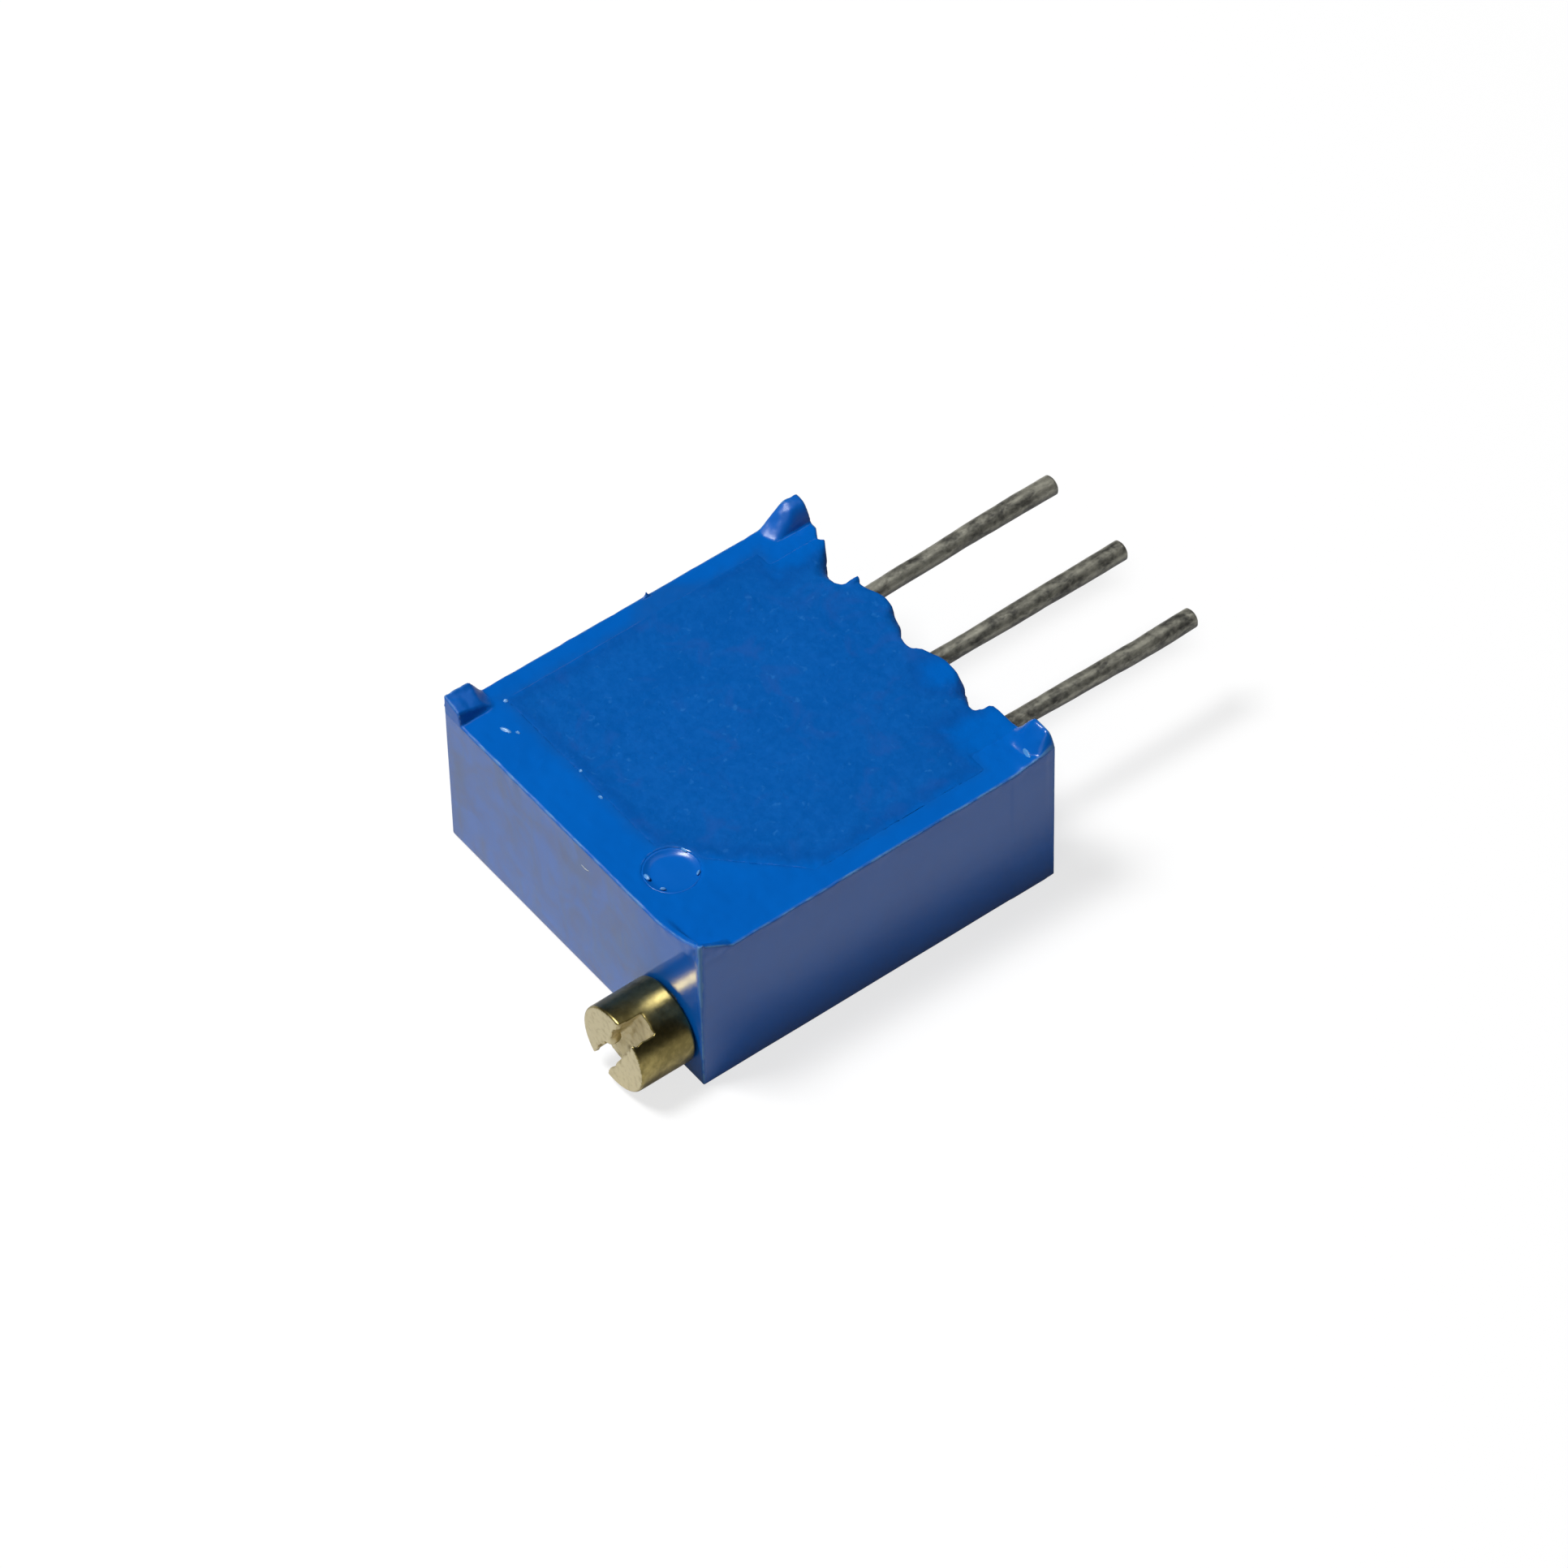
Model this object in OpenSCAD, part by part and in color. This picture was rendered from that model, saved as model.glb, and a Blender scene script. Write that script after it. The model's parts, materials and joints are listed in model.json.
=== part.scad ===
// Sealed worm-drive trimmer potentiometer, 3/8 inch square, lying on its front face.
// X runs across the body, -Y is the screw end, +Y the pin end, +Z the potted back.
// The origin is the centre of the front face, on which the part rests.

/* [Body] */
// Width of the moulded body
body_w = 9.53; // [9.4:0.01:11]
// Length of the body, from the screw end to the tips of the standoffs
body_l = 10.03; // [9.9:0.01:11.5]
// Thickness of the body, from the front face to the top of the corner pads
body_h = 4.83; // [4.7:0.01:6]
// Chamfer along the edges of the front face
front_chamfer = 0.1; // [0.02:0.01:0.2]
// Radius of the body's four upright edges
edge_r = 0.06; // [0.02:0.01:0.15]

/* [Back of the body] */
// Height of the corner pads above the back
pad_h = 0.56; // [0.4:0.01:0.6]
// Width of the square pad, across the body
pad_w = 0.62; // [0.4:0.01:0.9]
// Length of the square pad, along the body
pad_l = 0.98; // [0.6:0.01:1.2]
// How far the inner sides of the square pad slope in
pad_slope = 0.12; // [0.05:0.01:0.25]
// Reach of the thin fin on the screw's corner, across the body
fin_reach = 1.85; // [1.2:0.05:2]
// Reach of the fin's short arm, along the body
fin_arm = 0.85; // [0.6:0.05:1.1]
// Thickness of the fin at its foot
fin_t = 0.28; // [0.2:0.01:0.4]
// Reach of the sloping pad at the pin end, next to the screw's side
ramp_l = 1.3; // [1:0.05:1.4]
// Width of the sloping pad
ramp_w = 0.85; // [0.6:0.05:1]
// Reach of the peaked pad at the pin end, both ways
peak_reach = 0.95; // [0.7:0.05:1.1]

/* [Standoffs and pin slots] */
// Height of the two standoffs beside the pins
standoff_h = 0.22; // [0.15:0.01:0.4]
// Width of a standoff at its tip
standoff_w = 0.75; // [0.5:0.05:0.9]
// Width of the sloping flank beside a standoff
standoff_flank = 0.35; // [0.2:0.05:0.5]
// Width of the slot that each pin leaves through
pin_slot_w = 1.1; // [0.7:0.05:1.6]
// How far the potting stands back in each pin slot
slot_set_back = 0.48; // [0.3:0.01:0.6]
// Depth of the resin over the pin wall
step_t = 0.3; // [0.2:0.01:0.5]
// How far the resin over the pin wall reaches beyond the outer pins
step_reach = 0.8; // [0.6:0.01:1]

/* [Walls] */
// Thickness of the front wall
front_wall = 0.45; // [0.4:0.01:0.6]
// Thickness of the two side walls round the potting well
side_wall = 0.62; // [0.55:0.01:0.8]
// Thickness of the wall that holds the screw
gland_wall = 1.35; // [1.3:0.01:1.45]
// Thickness of the wall that the pins pass
pin_wall = 1.4; // [1.1:0.01:1.45]
// Leg of the solid corner beside the screw, cut across the well
corner_block = 2.4; // [2:0.05:2.5]
// Depth of the drive chamber, from the front wall to the ceramic
chamber_h = 1.82; // [1.8:0.01:1.95]
// Gap between the tooth tips and the chamber wall
chamber_clear = 0.12; // [0.05:0.01:0.15]
// How far the potting lies below the back
potting_dip = 0.03; // [0.01:0.01:0.15]
// Depth of the relief in the ledge, under the printed conductors
lead_relief = 0.06; // [0.05:0.01:0.08]

/* [Adjustment screw] */
// Distance from the screw's axis to the side of the body
screw_side = 1.27; // [1.25:0.01:1.4]
// Distance from the screw's axis to the front face
screw_rise = 1.27; // [1.25:0.01:1.3]
// Diameter of the screw's head
head_d = 2.19; // [1.9:0.01:2.3]
// Length of the screw's head
head_l = 1.52; // [1.2:0.01:2]
// Gap between the head and the body
head_gap = 0.04; // [0.02:0.01:0.1]
// Chamfer on the rim of the head
head_chamfer = 0.06; // [0.02:0.01:0.12]
// Width of the driver slot
slot_w = 0.56; // [0.4:0.01:0.7]
// Depth of the driver slot
slot_d = 0.76; // [0.4:0.01:0.9]
// Angle of the driver slot, from the body's width towards its back
slot_turn = 61; // [0:1:180]
// Diameter of the screw's journal
journal_d = 1.6; // [1.56:0.01:1.64]
// Radial clearance round the journal
bore_clear = 0.05; // [0.02:0.01:0.07]
// Diameter of the pivot at the screw's inner end
tail_d = 0.76; // [0.5:0.01:0.78]
// Length of the pivot at the screw's inner end
tail_l = 0.7; // [0.4:0.01:0.9]
// Radial clearance round the inner pivot
tail_clear = 0.04; // [0.02:0.01:0.08]

/* [Retaining pin and seal] */
// Diameter of the pin that holds the screw in
lock_d = 1.2; // [1:0.01:1.24]
// Distance from the screw end to the retaining pin's axis
lock_y = 1.17; // [1.1:0.01:1.2]
// How far the retaining pin reaches into the screw's groove
lock_bite = 0.1; // [0.08:0.01:0.2]
// Clearance between the retaining pin and its groove
lock_clear = 0.05; // [0.02:0.01:0.08]
// Depth of the retaining pin's top below the back
lock_depth = 0.35; // [0.2:0.01:0.6]
// Diameter of the sealed mouth over the retaining pin
seal_d = 1.3; // [1.26:0.01:1.4]
// Wall of the round boss that the retaining pin stands in
boss_wall = 0.15; // [0.1:0.01:0.2]
// Thickness of the sealant's rim over the retaining pin
seal_t = 0.2; // [0.1:0.01:0.3]
// Diameter of the O-ring's section
ring_d = 0.36; // [0.3:0.01:0.4]
// Clearance round the O-ring's section
ring_clear = 0.01; // [0.01:0.005:0.02]
// Side play of the O-ring in its groove
ring_play = 0.06; // [0.02:0.01:0.1]
// Width of the land between two grooves of the screw
land_w = 0.26; // [0.2:0.01:0.3]

/* [Worm drive] */
// Pitch of the single-start worm
worm_pitch = 0.55; // [0.53:0.005:0.56]
// Number of teeth on the rotor
tooth_count = 34; // [33:1:34]
// Pitch diameter of the worm
worm_d = 1.2; // [1.16:0.01:1.22]
// Length of the worm's thread
worm_l = 4; // [3.5:0.05:4.3]
// Pressure angle of worm and teeth
pressure_angle = 20; // [18:1:22]
// Height of a tooth above the pitch circle, in modules
tooth_addendum = 0.9; // [0.8:0.02:0.94]
// Depth of a tooth space below the pitch circle, in modules
tooth_dedendum = 1.15; // [1.1:0.01:1.2]
// Play between a tooth and the thread, on each side
tooth_play = 0.02; // [0.01:0.005:0.03]
// Width of the toothed band of the rotor
face_w = 0.8; // [0.6:0.01:0.9]

/* [Rotor] */
// Place of the rotor's axis along the body
rotor_y = -0.1; // [-0.12:0.01:0]
// Diameter of the moulded pivot that carries the rotor
pivot_d = 1.4; // [1:0.01:1.8]
// Height of the moulded pivot
pivot_h = 0.95; // [0.7:0.01:1.05]
// Radial clearance round the pivot
pivot_clear = 0.05; // [0.02:0.01:0.08]
// Gap between the rotor and the front wall
rotor_gap = 0.03; // [0.02:0.01:0.06]
// Thickness of the rotor
rotor_t = 1.26; // [1.24:0.01:1.28]
// Wall of the rotor's hub
hub_wall = 0.45; // [0.3:0.01:0.5]
// Depth of the stop channel in the rotor's underside
channel_h = 0.38; // [0.3:0.01:0.4]
// Inner radius of the stop channel
channel_r = 1.8; // [1.75:0.01:1.9]
// Radial width of the stop channel
channel_w = 0.65; // [0.5:0.01:0.7]
// Turns of the screw from one end of the travel to the other
screw_turns = 25; // [24:1:26]

/* [Wiper] */
// Thickness of the wiper's sheet
wiper_t = 0.07; // [0.05:0.005:0.08]
// Width of the wiper's plate
wiper_w = 1.7; // [1.5:0.05:2]
// Gap between two fingers of the wiper
finger_gap = 0.1; // [0.06:0.01:0.14]
// Number of fingers that press on the track
finger_count = 4; // [3:1:5]
// Diameter of the two moulded studs that hold the wiper
stud_d = 0.34; // [0.26:0.01:0.36]
// Diameter of the flattened head of a stud
stud_head_d = 0.52; // [0.46:0.01:0.56]
// Height of the flattened head of a stud
stud_head_h = 0.1; // [0.06:0.01:0.12]
// Radial clearance round a stud
stud_clear = 0.02; // [0.01:0.005:0.03]
// Gap between a finger's tip and the track
tip_gap = 0.02; // [0.01:0.005:0.03]

/* [Resistance element] */
// Thickness of the ceramic plate
ceramic_t = 0.45; // [0.4:0.01:0.55]
// Gap between the ceramic plate and the walls of the well
ceramic_clear = 0.08; // [0.05:0.01:0.12]
// Thickness of the printed layers
ink_t = 0.03; // [0.02:0.005:0.04]
// Mean radius of the resistive track
track_r = 2.3; // [2.2:0.01:2.35]
// Width of the resistive track
track_w = 0.7; // [0.6:0.01:0.8]
// Extra angle of track beyond the wiper's travel, at each end
track_margin = 6; // [4:1:8]
// Radius of the centre collector
collector_r = 0.8; // [0.6:0.01:0.9]
// Width of the conductor over the edge of the ceramic, at each pin
lead_w = 0.9; // [0.7:0.01:1.1]
// Width of the conductor on the front of the ceramic
link_w = 0.5; // [0.4:0.01:0.52]
// Angle of track that the conductor continues at each end
link_angle = 16; // [12:1:17]
// Length of the solder pad on the back of the ceramic
pad_reach = 1.35; // [1.2:0.01:1.5]

/* [Pins] */
// Pitch of the three pins
pin_pitch = 2.54; // [2.5:0.01:2.6]
// Diameter of a pin, over its solder coat
pin_d = 0.51; // [0.48:0.01:0.6]
// Length of the pins beyond the standoffs
pin_out = 5.8; // [4:0.1:8]
// Width of a pin where it is flattened, inside the body
foot_w = 0.5; // [0.4:0.01:0.7]
// Thickness of a pin where it is flattened, inside the body
foot_t = 0.2; // [0.15:0.01:0.25]
// Radius of the solder bead over a foot
solder_r = 0.52; // [0.5:0.01:0.56]

/* [Hidden] */
$fn = 96;

// Colours
body_blue = [0.02, 0.34, 0.68];
potting_blue = [0.07, 0.32, 0.62];
brass = [0.78, 0.68, 0.38];
tin = [0.6, 0.6, 0.56];

// A cut runs this far past a face, and a hidden overlap inside one solid is this deep.
over = 1;
sink = 0.03;

// Levels and faces of the body
screw_face_y = -body_l / 2;
pin_face_y = body_l / 2 - standoff_h;
back_z = body_h - pad_h;
ledge_z = front_wall + chamber_h;
potting_z = back_z - potting_dip;
ceramic_back_z = ledge_z + ceramic_t;

// Outline of the potting well, which the boss of the retaining pin stands in
well_x = body_w / 2 - side_wall;
well_y0 = screw_face_y + gland_wall;
well_y1 = pin_face_y - pin_wall;

// Worm drive, by the usual gear formulas
module_mm = worm_pitch / PI;
wheel_r = tooth_count * module_mm / 2;
wheel_tip_r = wheel_r + tooth_addendum * module_mm;
wheel_root_r = wheel_r - tooth_dedendum * module_mm;
wheel_base_r = wheel_r * cos(pressure_angle);
worm_r = worm_d / 2;
worm_tip_r = worm_r + tooth_addendum * module_mm;
worm_core_r = worm_r - tooth_dedendum * module_mm;
lead_angle = atan(worm_pitch / (2 * PI * worm_r));
tooth_pitch_angle = 360 / tooth_count;
travel = screw_turns * tooth_pitch_angle;

// Screw and rotor axes
screw_x = body_w / 2 - screw_side;
screw_z = screw_rise;
rotor_x = screw_x - worm_r - wheel_r;

// Screw, from head to tail
journal_r = journal_d / 2;
bore_r = journal_r + bore_clear;
head_y0 = screw_face_y - head_gap - head_l;
lock_groove_y0 = screw_face_y + lock_y - lock_d / 2 - lock_clear;
lock_groove_y1 = screw_face_y + lock_y + lock_d / 2 + lock_clear;
lock_groove_r = journal_r - lock_bite - lock_clear;
lock_x = screw_x - journal_r + lock_bite - lock_d / 2;
ring_groove_w = ring_d + ring_play;
ring_groove_y0 = lock_groove_y1 + land_w;
ring_groove_y1 = ring_groove_y0 + ring_groove_w;
ring_centre_r = bore_r - ring_clear - ring_d / 2;
ring_groove_r = ring_centre_r - ring_d / 2 - ring_clear;
journal_y1 = ring_groove_y1 + land_w;
worm_y0 = journal_y1 + worm_pitch / 4;
worm_y1 = worm_y0 + worm_l;
tail_y0 = worm_y1 + worm_pitch / 4;
bore_y1 = tail_y0 + head_gap;
tail_r = min(tail_d / 2, worm_core_r);

// Rotor levels
rotor_z0 = front_wall + rotor_gap;
rotor_z1 = rotor_z0 + rotor_t;
pivot_r = pivot_d / 2;
hub_bore_r = pivot_r + pivot_clear;
hub_r = hub_bore_r + hub_wall;
band_z0 = screw_z - face_w / 2;
stop_angle = (360 - travel) / 4;
stop_clear_angle = 1;
chamber_r = wheel_tip_r + chamber_clear;

// Wiper levels and places along its own length
contact_z = ledge_z - ink_t - tip_gap;
stud_reach = 0.55;
plate_back = 1;
plate_front = 1.05;
collector_reach = 0.12;

// Element and pins
pin_r = pin_d / 2;
pad_top_z = ceramic_back_z + ink_t;
pin_z = pad_top_z + foot_t;
ceramic_y1 = well_y1 - ceramic_clear;
foot_y0 = ceramic_y1 - pad_reach + 0.15;
pin_tip_y = body_l / 2 + pin_out;
pin_chamfer = 0.04;

// Conductors on the front of the ceramic
track_half = travel / 2 + track_margin;
link_y = rotor_y + (track_r + track_w / 2) * sin(track_half - 90) + ink_t;

// A box between two opposite corners.
module block(low, high) {
    translate(low) cube(high - low);
}

// A cylinder along Y between two places on the screw's axis.
module screw_drum(r, y0, y1) {
    translate([screw_x, y0, screw_z]) rotate([-90, 0, 0]) cylinder(r = r, h = y1 - y0);
}

// A cone along Y on the screw's axis.
module screw_cone(r0, r1, y0, y1) {
    translate([screw_x, y0, screw_z]) rotate([-90, 0, 0]) cylinder(r1 = r0, r2 = r1, h = y1 - y0);
}

// A flat ring sector about the rotor's axis, centred on the direction at_angle.
module sector(r_in, r_out, z0, z1, half_angle, at_angle) {
    translate([rotor_x, rotor_y, z0])
        rotate([0, 0, at_angle - half_angle])
            rotate_extrude(angle = 2 * half_angle)
                translate([r_in, 0]) square([r_out - r_in, z1 - z0]);
}

// ---------------------------------------------------------------- housing

// Plan of the body: a rectangle with two standoffs at the pin end.
module body_plan() {
    half = body_w / 2;
    tip = half - standoff_w;
    foot = tip - standoff_flank;
    polygon([
        [-half, screw_face_y], [half, screw_face_y], [half, body_l / 2], [tip, body_l / 2],
        [foot, pin_face_y], [-foot, pin_face_y], [-tip, body_l / 2], [-half, body_l / 2]
    ]);
}

// Plan of the potting well, drawn in by a gap on every side.
module well_plan(gap) {
    x = well_x - gap;
    y0 = well_y0 + gap;
    y1 = well_y1 - gap;
    cut = corner_block - gap * (2 - sqrt(2));
    difference() {
        polygon([[-x, y0], [x - cut, y0], [x, y0 + cut], [x, y1], [-x, y1]]);
        translate([lock_x, screw_face_y + lock_y]) circle(r = seal_d / 2 + boss_wall + gap);
    }
}

// One upright edge's waste: a square corner less its rounding.
module edge_waste(x_dir, y_dir) {
    translate([x_dir * body_w / 2, y_dir * body_l / 2, -over])
        difference() {
            translate([-edge_r, -edge_r]) cube([2 * edge_r, 2 * edge_r, body_h + 2 * over]);
            translate([-x_dir * edge_r, -y_dir * edge_r]) cylinder(r = edge_r, h = body_h + 2 * over);
            translate([x_dir > 0 ? -2 * edge_r : edge_r, -2 * edge_r])
                cube([edge_r, 4 * edge_r, body_h + 2 * over]);
        }
}

// Chamfers round the front face: one long bar of triangular section at each edge.
module front_chamfers() {
    bar = body_w + body_l;
    for (turn = [0, 180]) rotate([0, 0, turn]) {
        translate([-body_w / 2, bar / 2, 0]) rotate([90, 0, 0]) chamfer_bar(bar);
        translate([-bar / 2, -body_l / 2, 0]) rotate([90, 0, 90]) chamfer_bar(bar);
    }
}

// A bar of triangular section along +Z that cuts one chamfer.
module chamfer_bar(length) {
    linear_extrude(length)
        polygon([[-over, -over], [front_chamfer + over, -over], [-over, front_chamfer + over]]);
}

// A corner pad: upright on its outer sides. Its size and the slope of its inner sides
// are given across and along the body.
module corner_pad(x_dir, y_dir, size, slope) {
    mirror([x_dir > 0 ? 1 : 0, 0, 0]) mirror([0, y_dir > 0 ? 1 : 0, 0])
        translate([-body_w / 2, -body_l / 2, back_z - sink])
            intersection() {
                rotate([90, 0, 0]) translate([0, 0, -size[1]]) linear_extrude(size[1])
                    pad_profile(size[0], slope[0]);
                rotate([90, 0, 90]) linear_extrude(size[0])
                    pad_profile(size[1], slope[1]);
            }
}

// Side view of a corner pad.
module pad_profile(reach, slope) {
    polygon([[0, 0], [reach, 0], [reach, sink], [reach - slope, pad_h + sink], [0, pad_h + sink]]);
}

// The four corner pads, each with its own shape.
module corner_pads() {
    flat = fin_t - pad_slope;
    corner_pad(-1, -1, [pad_w, pad_l], [pad_slope, pad_slope]);
    corner_pad(1, -1, [fin_reach, fin_t], [fin_reach - flat, pad_slope]);
    corner_pad(1, -1, [fin_t, fin_arm], [pad_slope, fin_arm - flat]);
    corner_pad(1, 1, [ramp_w, ramp_l], [ramp_w / 2, ramp_l - flat]);
    corner_pad(-1, 1, [peak_reach, peak_reach], [peak_reach - flat, peak_reach - flat]);
}

// The step in the top of the pin wall that the resin fills, between the corners.
module wall_step() {
    half = pin_pitch + step_reach;
    block([-half, well_y1 - sink, back_z - step_t], [half, pin_face_y + over, body_h + over]);
}

// A slot for one pin: round at its foot and open at the back.
module pin_slot(x) {
    r = pin_slot_w / 2;
    translate([x, well_y1 - over / 2, pin_z]) rotate([-90, 0, 0]) cylinder(r = r, h = pin_wall + over);
    block([x - r, well_y1 - over / 2, pin_z], [x + r, pin_face_y + over / 2, body_h + over]);
}

// The step in the ledge that keeps it clear of the conductors on the ceramic.
module ledge_relief() {
    x = pin_pitch + lead_w;
    block([-x, rotor_y, ledge_z - lead_relief], [x, well_y1, ledge_z + over]);
}

// The moulded body with its well, chamber, screw bore, pivot and stop.
module housing() {
    color(body_blue) {
        difference() {
            union() {
                linear_extrude(back_z) body_plan();
                corner_pads();
            }
            for (x_dir = [-1, 1], y_dir = [-1, 1]) edge_waste(x_dir, y_dir);
            front_chamfers();
            translate([0, 0, ledge_z]) linear_extrude(body_h) well_plan(0);
            translate([rotor_x, rotor_y, front_wall]) cylinder(r = chamber_r, h = body_h);
            screw_drum(bore_r, screw_face_y - over, bore_y1);
            screw_drum(tail_r + tail_clear, bore_y1 - sink, tail_y0 + tail_l + head_gap);
            translate([lock_x, screw_face_y + lock_y, front_wall]) cylinder(d = lock_d, h = body_h);
            translate([lock_x, screw_face_y + lock_y, back_z - seal_t]) cylinder(d = seal_d, h = body_h);
            for (i = [-1:1]) pin_slot(i * pin_pitch);
            wall_step();
            ledge_relief();
        }
        translate([rotor_x, rotor_y, front_wall - sink]) cylinder(r = pivot_r, h = pivot_h + sink);
        sector(channel_r + rotor_gap, channel_r + channel_w - rotor_gap,
            front_wall - sink, front_wall + channel_h - rotor_gap, stop_angle - stop_clear_angle, 90);
    }
}

// ---------------------------------------------------------------- potting

// The cast resin over the ceramic and over the pin wall, with three tongues in its slots.
module potting() {
    color(potting_blue)
        difference() {
            union() {
                translate([0, 0, ceramic_back_z]) linear_extrude(potting_z - ceramic_back_z) well_plan(0);
                intersection() {
                    union() {
                        wall_step();
                        for (i = [-1:1]) pin_slot(i * pin_pitch);
                    }
                    block([-body_w / 2, well_y1 - sink, ledge_z], [body_w / 2, pin_face_y, potting_z]);
                }
            }
            for (i = [-1:1]) {
                potting_hollow(i * pin_pitch);
                pin(i * pin_pitch);
                solder(i * pin_pitch);
                back_pad(i * pin_pitch);
            }
        }
}

// The hollow curve in which the resin stops, short of the wall's face at one pin.
module potting_hollow(x) {
    r = pin_slot_w / 2;
    translate([x, pin_face_y - slot_set_back + r, ledge_z - over]) cylinder(r = r, h = body_h);
}

// ---------------------------------------------------------------- screw and seal

// Half the thickness of the worm's thread at a radius.
function thread_half(r) = (worm_pitch / 2 - tooth_play) / 2 + (worm_r - r) * tan(pressure_angle);

// Share of the full thread height at a place along the worm: it runs out at both ends.
function thread_rise(t) = min(1, t * 2, (worm_l / worm_pitch - t) * 2);

// Four corners of the thread's section after t turns.
function thread_section(t) =
    let (foot_r = worm_core_r - sink,
        tip_r = foot_r + sink / 2 + (worm_tip_r - foot_r - sink / 2) * thread_rise(t),
        turn = 360 * t + worm_phase,
        y = worm_y0 + worm_pitch * t)
    [
        for (corner = [[foot_r, -1], [tip_r, -1], [tip_r, 1], [foot_r, 1]])
            [corner[0] * sin(turn), y + corner[1] * thread_half(corner[0]), corner[0] * cos(turn)]
    ];

// The thread crosses the line between the two axes at the rotor's centre, facing -X.
worm_phase = -90 - 360 * (rotor_y - worm_y0) / worm_pitch;
thread_steps = 20;
thread_rings = round(thread_steps * worm_l / worm_pitch);

// The worm's thread as one swept solid.
module worm_thread() {
    points = [for (k = [0:thread_rings]) each thread_section(k / thread_steps)];
    sides = [for (k = [0:thread_rings - 1], j = [0:3])
        [4 * k + j, 4 * k + (j + 1) % 4, 4 * k + 4 + (j + 1) % 4, 4 * k + 4 + j]];
    last = 4 * thread_rings;
    translate([screw_x, 0, screw_z])
        polyhedron(points, concat([[3, 2, 1, 0]], sides, [[last, last + 1, last + 2, last + 3]]));
}

// The turned brass screw: slotted head, grooved journal, worm and inner pivot.
module adjustment_screw() {
    color(brass)
        difference() {
            union() {
                screw_cone(head_d / 2 - head_chamfer, head_d / 2, head_y0, head_y0 + head_chamfer);
                screw_drum(head_d / 2, head_y0 + head_chamfer, head_y0 + head_l - head_chamfer);
                screw_cone(head_d / 2, head_d / 2 - head_chamfer,
                    head_y0 + head_l - head_chamfer, head_y0 + head_l);
                screw_drum(journal_r, head_y0 + head_l - sink, lock_groove_y0);
                screw_drum(lock_groove_r, lock_groove_y0 - sink, lock_groove_y1 + sink);
                screw_drum(journal_r, lock_groove_y1, ring_groove_y0);
                screw_drum(ring_groove_r, ring_groove_y0 - sink, ring_groove_y1 + sink);
                screw_drum(journal_r, ring_groove_y1, journal_y1);
                screw_drum(worm_core_r, journal_y1 - sink, tail_y0);
                screw_drum(tail_r, tail_y0 - sink, tail_y0 + tail_l);
                worm_thread();
            }
            driver_slot();
        }
}

// The straight slot across the screw's head.
module driver_slot() {
    translate([screw_x, head_y0 - over, screw_z]) rotate([0, -slot_turn, 0])
        translate([-head_d, 0, -slot_w / 2]) cube([2 * head_d, slot_d + over, slot_w]);
}

// The rubber ring in the screw's inner groove.
module screw_o_ring() {
    color([0.5, 0.12, 0.08])
        translate([screw_x, (ring_groove_y0 + ring_groove_y1) / 2, screw_z]) rotate([-90, 0, 0])
            rotate_extrude() translate([ring_centre_r, 0]) circle(d = ring_d);
}

// The steel pin that stands beside the screw, in its outer groove.
module retaining_pin() {
    color("silver")
        translate([lock_x, screw_face_y + lock_y, front_wall])
            cylinder(d = lock_d, h = back_z - lock_depth - front_wall);
}

// The drop of resin that closes the hole over the retaining pin.
module pin_sealant() {
    color(potting_blue)
        translate([lock_x, screw_face_y + lock_y, 0]) {
            translate([0, 0, back_z - lock_depth]) cylinder(d = lock_d, h = lock_depth - seal_t + sink);
            translate([0, 0, back_z - seal_t]) cylinder(d = seal_d, h = seal_t - potting_dip);
        }
}

// ---------------------------------------------------------------- rotor

function involute(angle) = tan(angle) * 180 / PI - angle;

// Half the angle of a tooth at a radius, on an involute flank.
function tooth_half_angle(r) =
    (worm_pitch / 2 - tooth_play) / 2 / wheel_r * 180 / PI
    + involute(pressure_angle) - involute(acos(min(1, wheel_base_r / r)));

flank_steps = 5;
flank_start_r = max(wheel_base_r, wheel_root_r);

// One flank from the root to the tip, on the side given by a sign.
function flank(side) = [
    for (k = [0:flank_steps])
        let (r = flank_start_r + (wheel_tip_r - flank_start_r) * k / flank_steps,
            a = side * tooth_half_angle(r))
        [r * cos(a), r * sin(a)]
];

// Section of one tooth across the rotor's axis.
module tooth_section() {
    root = wheel_root_r - sink;
    a = tooth_half_angle(flank_start_r);
    polygon(concat(
        [[root * cos(a), -root * sin(a)]],
        flank(-1),
        [for (k = [flank_steps:-1:0]) flank(1)[k]],
        [[root * cos(a), root * sin(a)]]
    ));
}

// The toothed band: each tooth leans by the worm's lead angle.
module teeth() {
    intersection() {
        translate([0, 0, band_z0]) cylinder(r = wheel_tip_r + over, h = face_w);
        for (i = [0:tooth_count - 1])
            rotate([0, 0, (i + 0.5) * tooth_pitch_angle])
                translate([0, 0, screw_z]) rotate([-lead_angle, 0, 0])
                    linear_extrude(2 * face_w, center = true) tooth_section();
    }
}

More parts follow.
